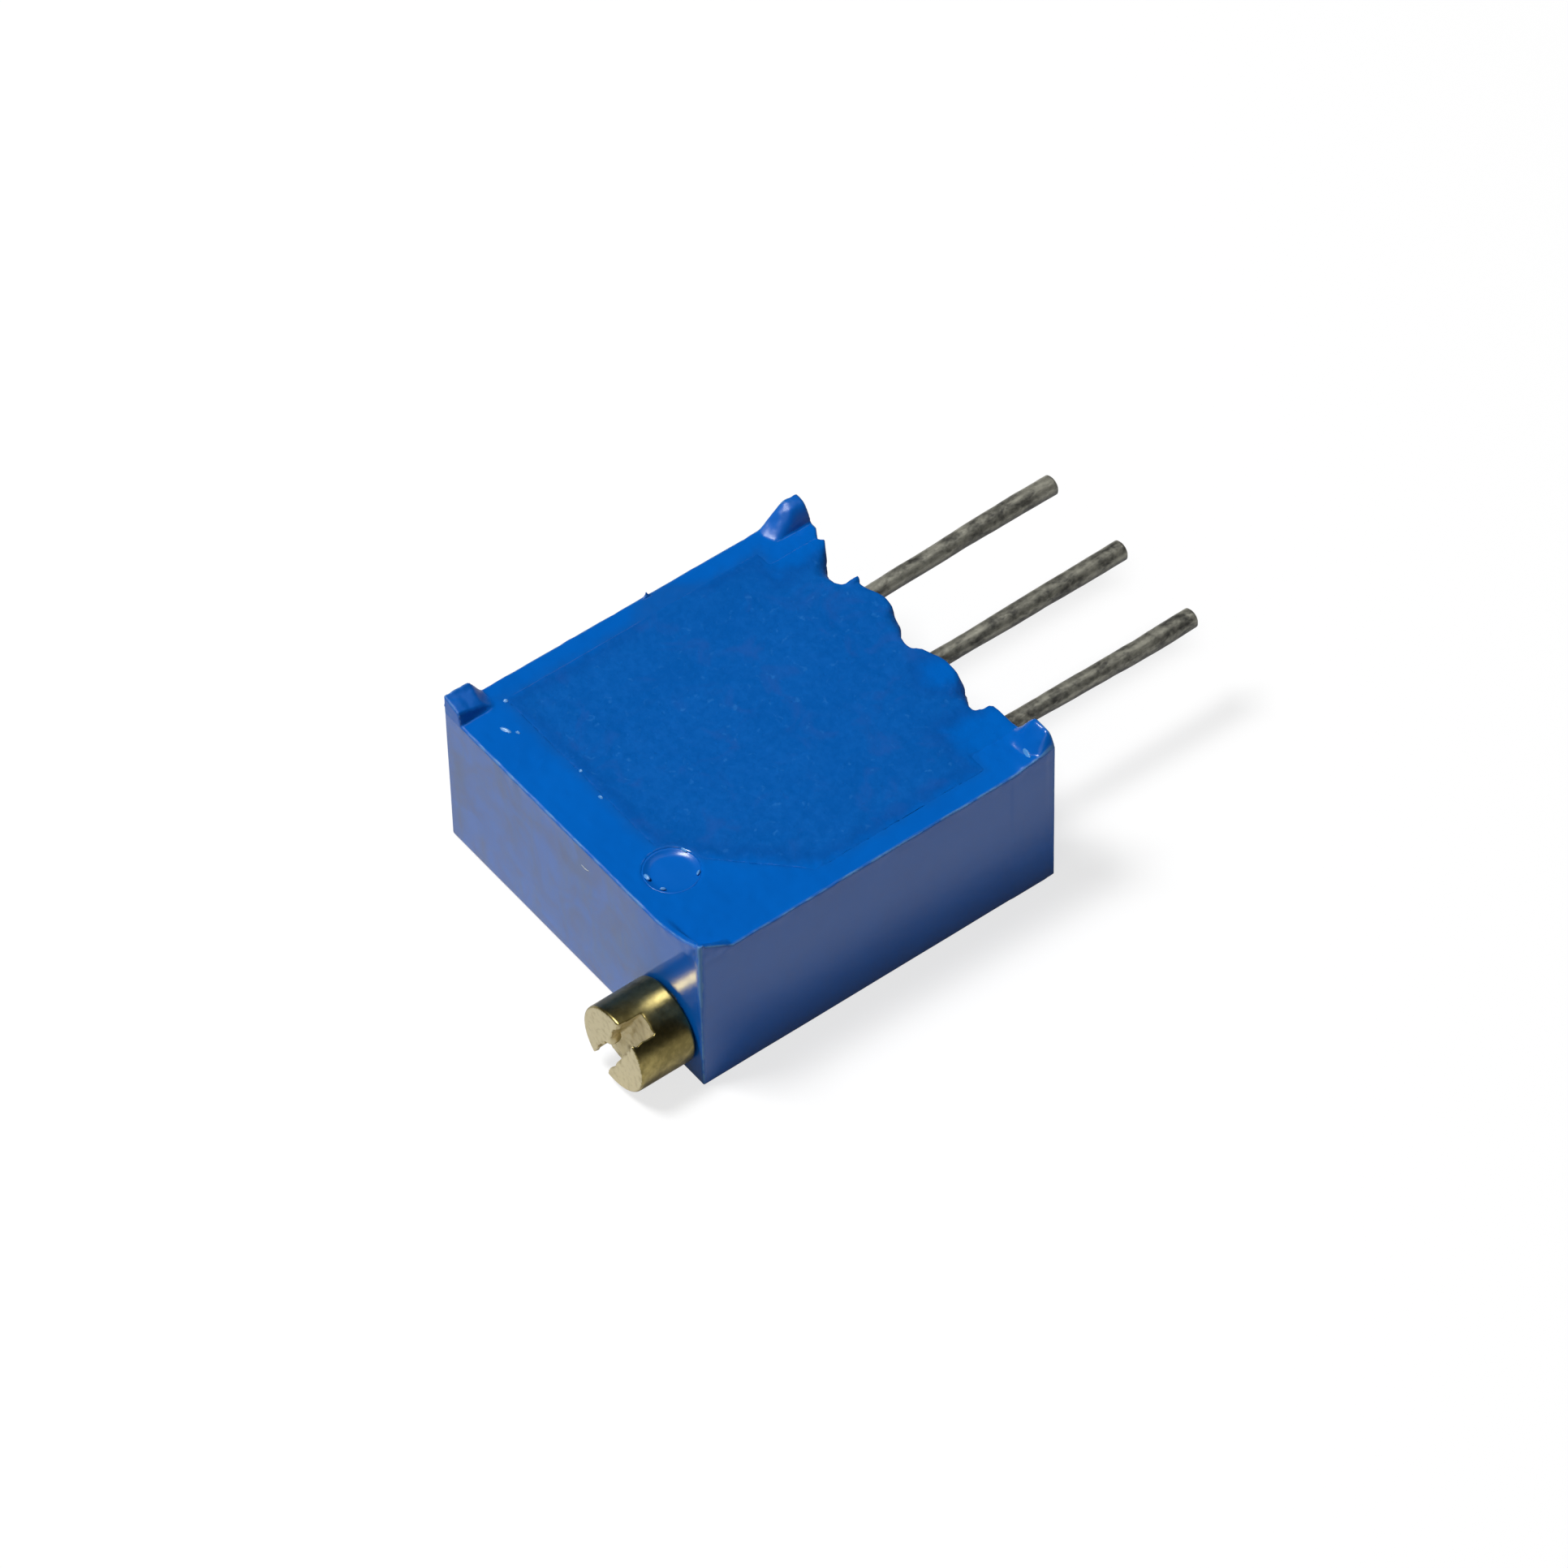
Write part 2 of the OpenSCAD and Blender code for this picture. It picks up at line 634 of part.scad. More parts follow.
// The moulded rotor: hub, stop lug, toothed band and the two studs for the wiper.
module rotor() {
    channel_z = rotor_z0 + channel_h;
    web_r = wheel_root_r - sink / 2;
    color([0.9, 0.88, 0.8]) {
        translate([rotor_x, rotor_y, 0]) {
            difference() {
                translate([0, 0, rotor_z0]) cylinder(r = web_r, h = rotor_t);
                translate([0, 0, rotor_z0 - over])
                    cylinder(r = hub_bore_r, h = over + pivot_h - rotor_gap + 2 * rotor_gap);
                translate([0, 0, rotor_z0 - over]) difference() {
                    cylinder(r = channel_r + channel_w, h = over + channel_h);
                    translate([0, 0, -over]) cylinder(r = channel_r, h = 3 * over);
                }
                translate([0, 0, rotor_z0 - over]) difference() {
                    cylinder(r = channel_r + sink, h = over + channel_h / 2);
                    translate([0, 0, -over]) cylinder(r = hub_r, h = 3 * over);
                }
            }
            teeth();
            for (v = [-1, 1]) translate([v * stud_reach, 0, rotor_z1 - sink]) stud();
        }
        sector(channel_r - sink, channel_r + channel_w + sink, rotor_z0, channel_z + sink,
            stop_angle - stop_clear_angle, -90);
    }
}

// A moulded stud with its head flattened over the wiper's plate.
module stud() {
    cylinder(d = stud_d, h = sink + wiper_t);
    translate([0, 0, sink + wiper_t])
        cylinder(d1 = stud_head_d, d2 = stud_head_d - stud_head_h, h = stud_head_h);
}

// ---------------------------------------------------------------- wiper

// Direction square to a line of points, at one of them.
function normal_at(line, i) =
    let (a = line[max(i - 1, 0)], b = line[min(i + 1, len(line) - 1)], d = (b - a) / norm(b - a))
    [-d[1], d[0]];

// A strip of the wiper's sheet, bent along a line.
module bent_strip(line, width) {
    half = wiper_t / 2;
    upper = [for (i = [0:len(line) - 1]) line[i] + half * normal_at(line, i)];
    lower = [for (i = [len(line) - 1:-1:0]) line[i] - half * normal_at(line, i)];
    rotate([90, 0, 0]) linear_extrude(width, center = true) polygon(concat(upper, lower));
}

// Line of a finger that leaves the plate, rises to its contact and curls down again.
function finger_line(root, tip, plate_z) =
    let (rise = contact_z - wiper_t / 2 - plate_z, run = tip - root)
    [
        for (k = [0:16]) let (s = k / 16 * 1.12)
            [root + run * s, plate_z + rise * (s < 1 ? (1 - cos(180 * s)) / 2 : 1 - pow((s - 1) * 4, 2))]
    ];

// The sprung contact: plate on the rotor, fingers on the track and on the collector.
module wiper() {
    plate_z = rotor_z1 + wiper_t / 2;
    finger_w = (wiper_w - (finger_count - 1) * finger_gap) / finger_count;
    color([0.85, 0.62, 0.25])
        translate([rotor_x, rotor_y, 0]) rotate([0, 0, -90]) {
            difference() {
                translate([-plate_back, -wiper_w / 2, rotor_z1])
                    cube([plate_back + plate_front, wiper_w, wiper_t]);
                for (v = [-1, 1]) translate([0, v * stud_reach, rotor_z1 - over])
                    cylinder(d = stud_d + 2 * stud_clear, h = 3 * over);
                collector_window();
            }
            for (i = [0:finger_count - 1])
                translate([0, -wiper_w / 2 + finger_w / 2 + i * (finger_w + finger_gap), 0])
                    bent_strip(finger_line(plate_front, track_r, plate_z), finger_w);
            for (side = [-1, 1])
                translate([0, side * (tongue_w / 4 + finger_gap / 4), 0])
                    bent_strip(finger_line(-plate_back + tongue_root, collector_reach, plate_z),
                        (tongue_w - finger_gap) / 2);
        }
}

// Both collector tongues together, between the heads of the studs
tongue_clear = 0.04;
tongue_w = 2 * (stud_reach - stud_head_d / 2 - tongue_clear);
tongue_root = 0.2;

// The window that the two collector tongues are bent out of.
module collector_window() {
    gap = finger_gap / 2;
    translate([-plate_back + tongue_root, -tongue_w / 2 - gap, rotor_z1 - over])
        cube([plate_back + plate_front - 2 * tongue_root, tongue_w + 2 * gap, 3 * over]);
}

// ---------------------------------------------------------------- element

// The ceramic plate that carries the element and closes the drive chamber.
module ceramic_substrate() {
    color([0.93, 0.92, 0.88])
        translate([0, 0, ledge_z]) linear_extrude(ceramic_t) well_plan(ceramic_clear);
}

// The horseshoe of resistive ink, open towards the pins.
module resistive_track() {
    color([0.12, 0.12, 0.13])
        sector(track_r - track_w / 2, track_r + track_w / 2, ledge_z - ink_t, ledge_z, track_half, -90);
}

// Conductor over the edge of the ceramic and onto its back, at one pin.
module back_pad(x) {
    half = lead_w / 2;
    block([x - half, ceramic_y1 - pad_reach, ceramic_back_z], [x + half, ceramic_y1 + ink_t, pad_top_z]);
    block([x - half, ceramic_y1, ledge_z - ink_t], [x + half, ceramic_y1 + ink_t, pad_top_z]);
}

// Conductor on the front of the ceramic: it carries on from one end of the track,
// turns outwards and runs to the edge.
module termination(side) {
    x = side * pin_pitch;
    half = lead_w / 2;
    link_x = rotor_x + side * (track_r - track_w / 2) * sin(180 - track_half);
    color("gray") {
        sector(track_r - track_w / 2, track_r + track_w / 2, ledge_z - ink_t, ledge_z,
            link_angle / 2, -90 + side * (track_half + link_angle / 2));
        block([min(link_x, x - half), link_y, ledge_z - ink_t],
            [max(link_x, x + half), link_y + link_w, ledge_z]);
        block([x - half, link_y, ledge_z - ink_t], [x + half, ceramic_y1 + ink_t, ledge_z]);
        back_pad(x);
    }
}

module left_termination() termination(-1);
module right_termination() termination(1);

// The centre collector: a disc under the wiper's tongues, led out between the track's ends.
module centre_collector() {
    half = link_w / 2;
    color("gray") {
        translate([rotor_x, rotor_y, ledge_z - ink_t]) cylinder(r = collector_r, h = ink_t);
        block([-half, rotor_y, ledge_z - ink_t], [half, ceramic_y1 + ink_t, ledge_z]);
        back_pad(0);
    }
}

// ---------------------------------------------------------------- pins and solder

// A round pin, flattened inside the body into a foot that lies on its pad.
module pin(x) {
    block([x - foot_w / 2, foot_y0, pad_top_z], [x + foot_w / 2, body_l / 2, pad_top_z + foot_t]);
    translate([x, 0, pin_z]) rotate([-90, 0, 0]) {
        translate([0, 0, body_l / 2 - sink]) cylinder(r = pin_r, h = pin_out + sink - pin_chamfer);
        translate([0, 0, pin_tip_y - pin_chamfer])
            cylinder(r1 = pin_r, r2 = pin_r - pin_chamfer, h = pin_chamfer);
    }
}

// A bead of solder over the foot of one pin.
module solder(x) {
    z = pad_top_z;
    y0 = ceramic_y1 - pad_reach + solder_r;
    y1 = ceramic_y1 - solder_r;
    difference() {
        intersection() {
            union() {
                translate([x, y0, z]) rotate([-90, 0, 0]) cylinder(r = solder_r, h = y1 - y0);
                translate([x, y0, z]) sphere(r = solder_r);
                translate([x, y1, z]) sphere(r = solder_r);
            }
            block([x - lead_w / 2, y0 - over, z], [x + lead_w / 2, y1 + over, z + over]);
        }
        pin(x);
    }
}

module left_pin() color(tin) pin(-pin_pitch);
module centre_pin() color(tin) pin(0);
module right_pin() color(tin) pin(pin_pitch);
module left_solder() color("darkgray") solder(-pin_pitch);
module centre_solder() color("darkgray") solder(0);
module right_solder() color("darkgray") solder(pin_pitch);

housing();
potting();
adjustment_screw();
screw_o_ring();
retaining_pin();
pin_sealant();
rotor();
wiper();
ceramic_substrate();
resistive_track();
centre_collector();
left_termination();
right_termination();
left_pin();
centre_pin();
right_pin();
left_solder();
centre_solder();
right_solder();
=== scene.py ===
"""A sealed worm-drive trimmer potentiometer, dressed for close views.

Lengths in the classes are in millimetres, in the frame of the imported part: X runs
across the body, -Y is the screw end, +Y the pin end and +Z the potted back.
"""

import json
import logging
import math
from dataclasses import dataclass
from enum import Enum
from itertools import product

import bpy
import numpy as np
from mathutils import Matrix, Vector


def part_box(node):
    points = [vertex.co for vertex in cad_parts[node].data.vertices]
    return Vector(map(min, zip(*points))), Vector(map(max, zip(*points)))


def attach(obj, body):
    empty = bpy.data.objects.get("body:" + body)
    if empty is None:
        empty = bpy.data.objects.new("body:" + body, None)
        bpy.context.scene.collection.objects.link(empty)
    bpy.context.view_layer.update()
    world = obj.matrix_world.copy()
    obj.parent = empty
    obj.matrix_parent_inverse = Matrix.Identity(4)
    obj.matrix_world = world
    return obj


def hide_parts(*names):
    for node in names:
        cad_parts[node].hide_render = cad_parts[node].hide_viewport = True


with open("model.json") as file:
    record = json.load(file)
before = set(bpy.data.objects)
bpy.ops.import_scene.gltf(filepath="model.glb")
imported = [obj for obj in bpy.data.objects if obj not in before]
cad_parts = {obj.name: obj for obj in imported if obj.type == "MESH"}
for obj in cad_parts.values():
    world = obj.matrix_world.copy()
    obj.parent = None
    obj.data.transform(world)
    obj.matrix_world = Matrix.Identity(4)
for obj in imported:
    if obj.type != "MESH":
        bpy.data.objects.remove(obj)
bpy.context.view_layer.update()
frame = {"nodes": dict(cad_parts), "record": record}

MM = 0.001
SPARE = 0.06
DOME_TILTS = (-0.4, math.pi / 2 - 0.2)
ROUNDING = 1e-9
CUBE = tuple(product((0, 1), repeat=3))
CUBE_EDGES = tuple(
    (a, b) for a in CUBE for b in CUBE
    if sum(b) - sum(a) == 1 and all(p <= q for p, q in zip(a, b))
)

log = logging.getLogger("trimmer")

Array = np.ndarray
Pair = tuple[float, float]
Triple = tuple[float, float, float]
Colour = Triple
Mesh = tuple[Array, list]


# ------------------------------------------------------------------ measures


def corners(node: str) -> tuple[Array, Array]:
    """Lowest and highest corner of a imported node, in millimetres."""
    low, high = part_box(node)
    return np.array(low) / MM, np.array(high) / MM


def middle(node: str) -> Array:
    """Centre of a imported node's box, in millimetres."""
    low, high = corners(node)
    return (low + high) / 2


def radius_of(node: str) -> float:
    """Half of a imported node's width across the body, in millimetres."""
    low, high = corners(node)
    return (high[0] - low[0]) / 2


# ------------------------------------------------------------------ fields


@dataclass(frozen=True)
class Unevenness:
    """Smooth seeded noise in space, within about -1 to 1."""

    seed: int
    cell: float
    octaves: int = 2
    table_size: int = 24
    octave_shift: float = 7.3

    def __call__(self, x: Array, y: Array, z: Array) -> Array:
        """Works the noise out at places that may be three crossing axes.

        Args:
            x: places across the body.
            y: places along the body.
            z: places above the front face.

        Returns:
            The noise at each place.
        """
        table = np.random.default_rng(self.seed).uniform(-1, 1, (self.table_size,) * 3)
        total, weight = 0.0, 0.0
        for octave in range(self.octaves):
            scale, share = 2**octave / self.cell, 0.5**octave
            shifted = [v * scale + octave * self.octave_shift for v in (x, y, z)]
            total = total + share * self._blend(table, shifted)
            weight += share
        return total / weight

    def _blend(self, table: Array, places: list[Array]) -> Array:
        """Reads the table smoothly between its points.

        Args:
            table: a cube of random numbers, which repeats in space.
            places: where to read it, in steps of the table.

        Returns:
            The blended values.
        """
        cells, shares = [], []
        for v in places:
            base = np.floor(v)
            t = v - base
            cells.append(base.astype(int))
            shares.append(t * t * (3 - 2 * t))
        total = 0.0
        for corner in CUBE:
            index = tuple((cell + c) % self.table_size for c, cell in zip(corner, cells))
            weight = 1.0
            for c, share in zip(corner, shares):
                weight = weight * (share if c else 1 - share)
            total = total + weight * table[index]
        return total


def ramp(v: Array, foot: float, top: float) -> Array:
    """Returns 0 up to foot, 1 from top, and a smooth rise between them."""
    t = np.clip((v - foot) / (top - foot), 0, 1)
    return t * t * (3 - 2 * t)


def band(v: Array, start: float, end: float) -> Array:
    """Returns the distance to the band from start to end, below 0 inside it."""
    return np.maximum(start - v, v - end)


def near(distance: Array, reach: Pair) -> Array:
    """Returns 1 up to the second reach and 0 from the first, which is farther away."""
    return ramp(-distance, -reach[0], -reach[1])


def bump(v: Array, centre: float, width: float) -> Array:
    """Returns 1 at the centre, falling smoothly to 0 on both sides."""
    return np.exp(-(((v - centre) / width) ** 2))


def merge(a: Array, b: Array, fillet: float) -> Array:
    """Joins two fields with a fillet between them."""
    share = np.clip(0.5 + 0.5 * (b - a) / fillet, 0, 1)
    return b * (1 - share) + a * share - fillet * share * (1 - share)


def meet(a: Array, b: Array, radius: float) -> Array:
    """Keeps what is in both fields, with a rounded edge where they cross."""
    outside = np.hypot(np.maximum(a + radius, 0), np.maximum(b + radius, 0))
    return outside + np.minimum(np.maximum(a + radius, b + radius), 0) - radius


def cut(a: Array, b: Array, radius: float) -> Array:
    """Takes the second field out of the first, with a rounded lip."""
    return meet(a, -b, radius)


def oblong(x: Array, y: Array, low: Pair, high: Pair) -> Array:
    """Measures to a rectangle.

    Args:
        x: places across the body.
        y: places along the body.
        low: the rectangle's lowest corner.
        high: its highest corner.

    Returns:
        The distance to its outline, below 0 inside.
    """
    across = np.maximum(low[0] - x, x - high[0])
    along = np.maximum(low[1] - y, y - high[1])
    outside = np.hypot(np.maximum(across, 0), np.maximum(along, 0))
    return outside + np.minimum(np.maximum(across, along), 0)


def axis(start: float, *bands: Pair) -> Array:
    """Sample places along one axis.

    Args:
        start: the first place.
        bands: pairs of an end and the largest step up to it.

    Returns:
        The places, in order.
    """
    places = [np.array([start])]
    for end, step in bands:
        last = places[-1][-1]
        count = max(1, math.ceil((end - last) / step - ROUNDING))
        places.append(np.linspace(last, end, count + 1)[1:])
    return np.concatenate(places)


def crossing(axes: tuple[Array, Array, Array]) -> tuple[Array, Array, Array]:
    """The three axes shaped so that they span the whole block."""
    return tuple(a.reshape([-1 if i == k else 1 for i in range(3)]) for k, a in enumerate(axes))


def skin(solid: Array, axes: tuple[Array, Array, Array]) -> Mesh:
    """Wraps the inside of a sampled field in quads, by surface nets.

    Args:
        solid: the field at each sample place, below 0 inside.
        axes: the sample places along X, Y and Z.

    Returns:
        The corner places and the four corner numbers of each quad.
    """
    inside = solid < 0
    shape = tuple(n - 1 for n in solid.shape)
    views = [inside[tuple(slice(c, c + n) for c, n in zip(k, shape))] for k in CUBE]
    held = sum(view.astype(np.int8) for view in views)
    cells = np.argwhere((held > 0) & (held < len(CUBE)))
    number = np.full(shape, -1)
    number[tuple(cells.T)] = np.arange(len(cells))

    total, crossings = np.zeros((len(cells), 3)), np.zeros((len(cells), 1))
    for ends in CUBE_EDGES:
        a, b = (tuple((cells + end).T) for end in ends)
        level_a, level_b = solid[a], solid[b]
        crossed = (level_a < 0) != (level_b < 0)
        share = (level_a[crossed] / (level_a[crossed] - level_b[crossed]))[:, None]
        at_a, at_b = (
            np.stack([axes[k][end[k][crossed]] for k in range(3)], 1) for end in (a, b)
        )
        total[crossed] += at_a + share * (at_b - at_a)
        crossings[crossed] += 1

    quads = []
    for k in range(3):
        u, v = (np.eye(3, dtype=int)[(k + turn) % 3] for turn in (1, 2))
        before = tuple(slice(0, -1) if i == k else slice(1, -1) for i in range(3))
        after = tuple(slice(1, None) if i == k else slice(1, -1) for i in range(3))
        edges = np.argwhere(inside[before] != inside[after]) + (u + v)
        ring = np.stack([number[tuple((edges - step).T)] for step in (u + v, v, 0 * u, u)], 1)
        outward = inside[tuple(edges.T)]
        quads.append(np.where(outward[:, None], ring, ring[:, ::-1]))
    return total / crossings, np.concatenate(quads).tolist()


# ------------------------------------------------------------------ nodes


class Value:
    """A number or a colour on its way through a material's nodes."""

    def __init__(self, recipe: "Recipe", socket: bpy.types.NodeSocket) -> None:
        """Wraps one output socket."""
        self.recipe = recipe
        self.socket = socket

    def _maths(self, operation: str, first: "Value | float", second: "Value | float") -> "Value":
        """Adds one Math node."""
        return self.recipe.add("ShaderNodeMath", {"operation": operation}, {0: first, 1: second})

    def __add__(self, other: "Value | float") -> "Value":
        """Returns self + other."""
        return self._maths("ADD", self, other)

    def __sub__(self, other: "Value | float") -> "Value":
        """Returns self - other."""
        return self._maths("SUBTRACT", self, other)

    def __rsub__(self, other: float) -> "Value":
        """Returns other - self."""
        return self._maths("SUBTRACT", other, self)

    def __mul__(self, other: "Value | float") -> "Value":
        """Returns self * other."""
        return self._maths("MULTIPLY", self, other)

    __radd__ = __add__
    __rmul__ = __mul__

    def between(self, low: float, high: float) -> "Value":
        """Returns a smooth rise from 0 at low to 1 at high."""
        settings = {"interpolation_type": "SMOOTHSTEP"}
        return self.recipe.add("ShaderNodeMapRange", settings, {0: self, 1: low, 2: high})

    def beside(self, name: str) -> "Value":
        """Returns another output of the same node."""
        return Value(self.recipe, self.socket.node.outputs[name])


class Recipe:
    """The node tree of one material, or of the world."""

    def __init__(self, owner: bpy.types.Material | bpy.types.World) -> None:
        """Starts with an empty tree.

        Args:
            owner: the material or world that the tree belongs to.
        """
        owner.use_nodes = True
        self.owner = owner
        self.tree = owner.node_tree
        self.tree.nodes.clear()

    def add(self, kind: str, settings: dict, inputs: dict, output: int | str = 0) -> Value | None:
        """Adds one node.

        Args:
            kind: the node's type.
            settings: its properties, which are set first.
            inputs: the value, colour or link of each socket, by name or number.
            output: the socket that is returned.

        Returns:
            The chosen output, or nothing where the node has none.
        """
        node = self.tree.nodes.new(kind)
        for key, setting in settings.items():
            setattr(node, key, setting)
        for key, given in inputs.items():
            if isinstance(given, Value):
                self.tree.links.new(given.socket, node.inputs[key])
            elif isinstance(given, tuple) and node.inputs[key].type == "RGBA":
                node.inputs[key].default_value = (*given, 1)
            else:
                node.inputs[key].default_value = given
        return Value(self, node.outputs[output]) if node.outputs else None

    def place(self, stretch: Triple = (1, 1, 1)) -> Value:
        """Place on the piece in millimetres, times a stretch along each axis."""
        on_piece = self.add("ShaderNodeTexCoord", {}, {}, "Object")
        inputs = {0: on_piece, 1: tuple(s / MM for s in stretch)}
        return self.add("ShaderNodeVectorMath", {"operation": "MULTIPLY"}, inputs)

    def noise(self, place: Value, scale: float, detail: float, distortion: float = 0) -> Value:
        """Noise of so many cells a millimetre, from 0 to 1."""
        inputs = {"Vector": place, "Scale": scale, "Detail": detail, "Distortion": distortion}
        return self.add("ShaderNodeTexNoise", {}, inputs)

    def measure(self, name: str) -> Value:
        """A number that the mesh holds at each corner."""
        return self.add("ShaderNodeAttribute", {"attribute_name": name}, {}, "Fac")

    def mix(self, share: Value, first: Value | Colour, second: Value | Colour) -> Value:
        """Returns the first colour at 0 and the second at 1."""
        return self.add("ShaderNodeMix", {"data_type": "RGBA"}, {0: share, 6: first, 7: second}, 2)

    def finish(self, inputs: dict, relief: Value, depth: float) -> bpy.types.Material:
        """Adds the bump, the shader and the output.

        Args:
            inputs: the shader's sockets.
            relief: the height that the bump takes, from 0 to 1.
            depth: the height of the relief in millimetres.

        Returns:
            The material.
        """
        normal = self.add("ShaderNodeBump", {}, {"Distance": depth * MM, "Height": relief})
        shader = self.add("ShaderNodeBsdfPrincipled", {}, {**inputs, "Normal": normal})
        self.add("ShaderNodeOutputMaterial", {}, {"Surface": shader})
        return self.owner


@dataclass(frozen=True)
class FilmEdge:
    """How the matt film on the back fades out at its ragged edge."""

    raggedness: float = 0.5
    inside: float = 0.26
    outside: float = -0.28

    def depth(self, r: Recipe, place: Value) -> Value:
        """Returns the distance inside the film, with a ragged edge."""
        return r.measure("matt") + (r.noise(place, scale=2.2, detail=4) - 0.5) * self.raggedness

    def cover(self, depth: Value) -> Value:
        """Returns 1 where the film covers the surface, falling to 0 outside it."""
        return depth.between(self.outside, self.inside)


@dataclass(frozen=True)
class MouldedBlue:
    """Glossy moulded plastic, handled and a little smudged on its sides."""

    colour: Colour = (0.0006, 0.122, 0.53)
    deep: Colour = (0.0005, 0.112, 0.495)
    film: Colour = (0.004, 0.1, 0.41)
    smudge: Colour = (0.042, 0.075, 0.21)
    streak: Colour = (0.035, 0.11, 0.28)
    # Pale blue of rubbed plastic on the pads, also painted along the outer edges as a highlight.
    rub_and_highlight: Colour = (0.1, 0.26, 0.52)
    polish: float = 0.045
    ior: float = 1.46
    grease: float = 0.3
    grease_roughness: float = 0.12
    streak_stretch: Triple = (1.0, 1.0, 0.3)
    relief: float = 0.0022
    edge: FilmEdge = FilmEdge()

    def material(self, name: str) -> bpy.types.Material:
        """Builds the material.

        Args:
            name: the material's name.

        Returns:
            The material.
        """
        r = Recipe(bpy.data.materials.new(name))
        place = r.place()
        flank, worn = r.measure("flank"), r.measure("worn")
        cloud = r.noise(place, scale=0.45, detail=3, distortion=0.4)
        patch = r.noise(place, scale=0.8, detail=4, distortion=1.4)
        fine = r.noise(place, scale=9, detail=3)
        waves = r.noise(place, scale=2.5, detail=2)
        chips = r.noise(place, scale=3.5, detail=4) - 0.5
        upright = r.noise(r.place(self.streak_stretch), scale=1.9, detail=4, distortion=0.5)
        smudged = patch.between(0.3, 0.8) * flank
        streaked = upright.between(0.38, 0.8) * flank
        matt = self.edge.cover(self.edge.depth(r, place))
        # Painted highlight in part: the pale colour along the outer edges and down the screw's
        # corner stands in for the light they catch; on the pads it is rubbed plastic.
        rub_and_highlight = (worn + chips * 1.2).between(0.7, 1.1)
        colour = r.mix(cloud.between(0.3, 0.7), self.colour, self.deep)
        colour = r.mix(streaked * 0.7, colour, self.streak)
        colour = r.mix(smudged * 0.6, colour, self.smudge)
        colour = r.mix(matt * (0.7 + fine * 0.4), colour, self.film)
        inputs = {
            "Base Color": r.mix(rub_and_highlight * 0.85, colour, self.rub_and_highlight),
            "Roughness": self.polish + cloud * 0.03 + smudged * 0.14 + matt * 0.1 + worn * 0.55,
            "IOR": self.ior,
            "Coat Weight": flank * self.grease,
            "Coat Roughness": self.grease_roughness,
        }
        return r.finish(inputs, fine * 0.25 + waves * 0.8 + streaked * 0.4, self.relief)


@dataclass(frozen=True)
class CastBlue:
    """Cast resin with a fine matt grain, glossy where it wets the case."""

    colour: Colour = (0.001, 0.092, 0.39)
    light: Colour = (0.003, 0.108, 0.435)
    tinted: Colour = (0.01, 0.094, 0.39)
    speck: Colour = (0.02, 0.17, 0.53)
    shade: Colour = (0.001, 0.07, 0.33)
    gloss: Colour = (0.0006, 0.116, 0.5)
    polish: float = 0.25
    ior: float = 1.46
    shine: float = 0.04
    relief: float = 0.014
    edge: FilmEdge = FilmEdge()

    def material(self, name: str) -> bpy.types.Material:
        """Builds the material.

        Args:
            name: the material's name.

        Returns:
            The material.
        """
        r = Recipe(bpy.data.materials.new(name))
        place = r.place()
        speck = r.noise(place, scale=13, detail=2)
        grain = r.noise(place, scale=6, detail=3, distortion=0.3)
        cloud = r.noise(place, scale=0.5, detail=2)
        blotch = r.noise(place, scale=1.1, detail=4, distortion=0.8)
        spots = r.noise(place, scale=4.5, detail=3, distortion=0.5)
        depth = self.edge.depth(r, place)
        matt = self.edge.cover(depth)
        colour = r.mix((grain * 0.6 + cloud * 0.4).between(0.35, 0.7), self.colour, self.light)
        colour = r.mix(blotch.between(0.52, 0.72) * 0.7, colour, self.tinted)
        colour = r.mix(spots.between(0.62, 0.76) * 0.5, colour, self.speck)
        colour = r.mix(depth.between(0.6, 0.15) * 0.45, colour, self.shade)
        inputs = {
            "Base Color": r.mix(matt, self.gloss, colour),
            "Roughness": self.polish + matt * 0.3 + (speck - 0.5) * 0.1,
            "IOR": self.ior,
            "Specular IOR Level": self.shine,
        }
        return r.finish(inputs, (grain + blotch * 0.8) * matt + speck * 0.5, self.relief)


@dataclass(frozen=True)
class TurnedBrass:
    """Turned brass: fine rings round the screw's axis and a dull, grainy end face."""

    # Painted light in part: the cut end face and slot get a far lighter brass than the turned
    # sides, matching how bright each looks under this light; their grain and roughness are their
    # own.
    colour: Colour = (0.41, 0.33, 0.122)
    dull: Colour = (0.2, 0.16, 0.055)
    cut: Colour = (0.72, 0.645, 0.43)
    scuffed: Colour = (0.6, 0.525, 0.325)
    polish: float = 0.26
    ring_stretch: Triple = (0.15, 14, 0.15)
    relief: float = 0.005

    def material(self, name: str) -> bpy.types.Material:
        """Builds the material.

        Args:
            name: the material's name.

        Returns:
            The material.
        """
        r = Recipe(bpy.data.materials.new(name))
        place = r.place()
        rings = r.noise(r.place(self.ring_stretch), scale=1, detail=3)
        grain = r.noise(place, scale=7, detail=4)
        stain = r.noise(place, scale=1.4, detail=3, distortion=0.5)
        cut_face = r.measure("cut")
        turned_face = r.mix((stain * 0.6 + grain * 0.4).between(0.35, 0.65), self.colour, self.dull)
        torn_face = r.mix(grain.between(0.45, 0.75), self.cut, self.scuffed)
        inputs = {
            # Painted light in part: lighter brass on the cut faces, darker on the turned sides.
            "Base Color": r.mix(cut_face, turned_face, torn_face),
            "Roughness": self.polish + grain * 0.04 + stain * 0.08 + cut_face * 0.26,
            "Metallic": 1.0,
        }
        relief = rings * (1 - cut_face) * 0.3 + grain * (cut_face * 0.36 + 0.02)
        return r.finish(inputs, relief, self.relief)


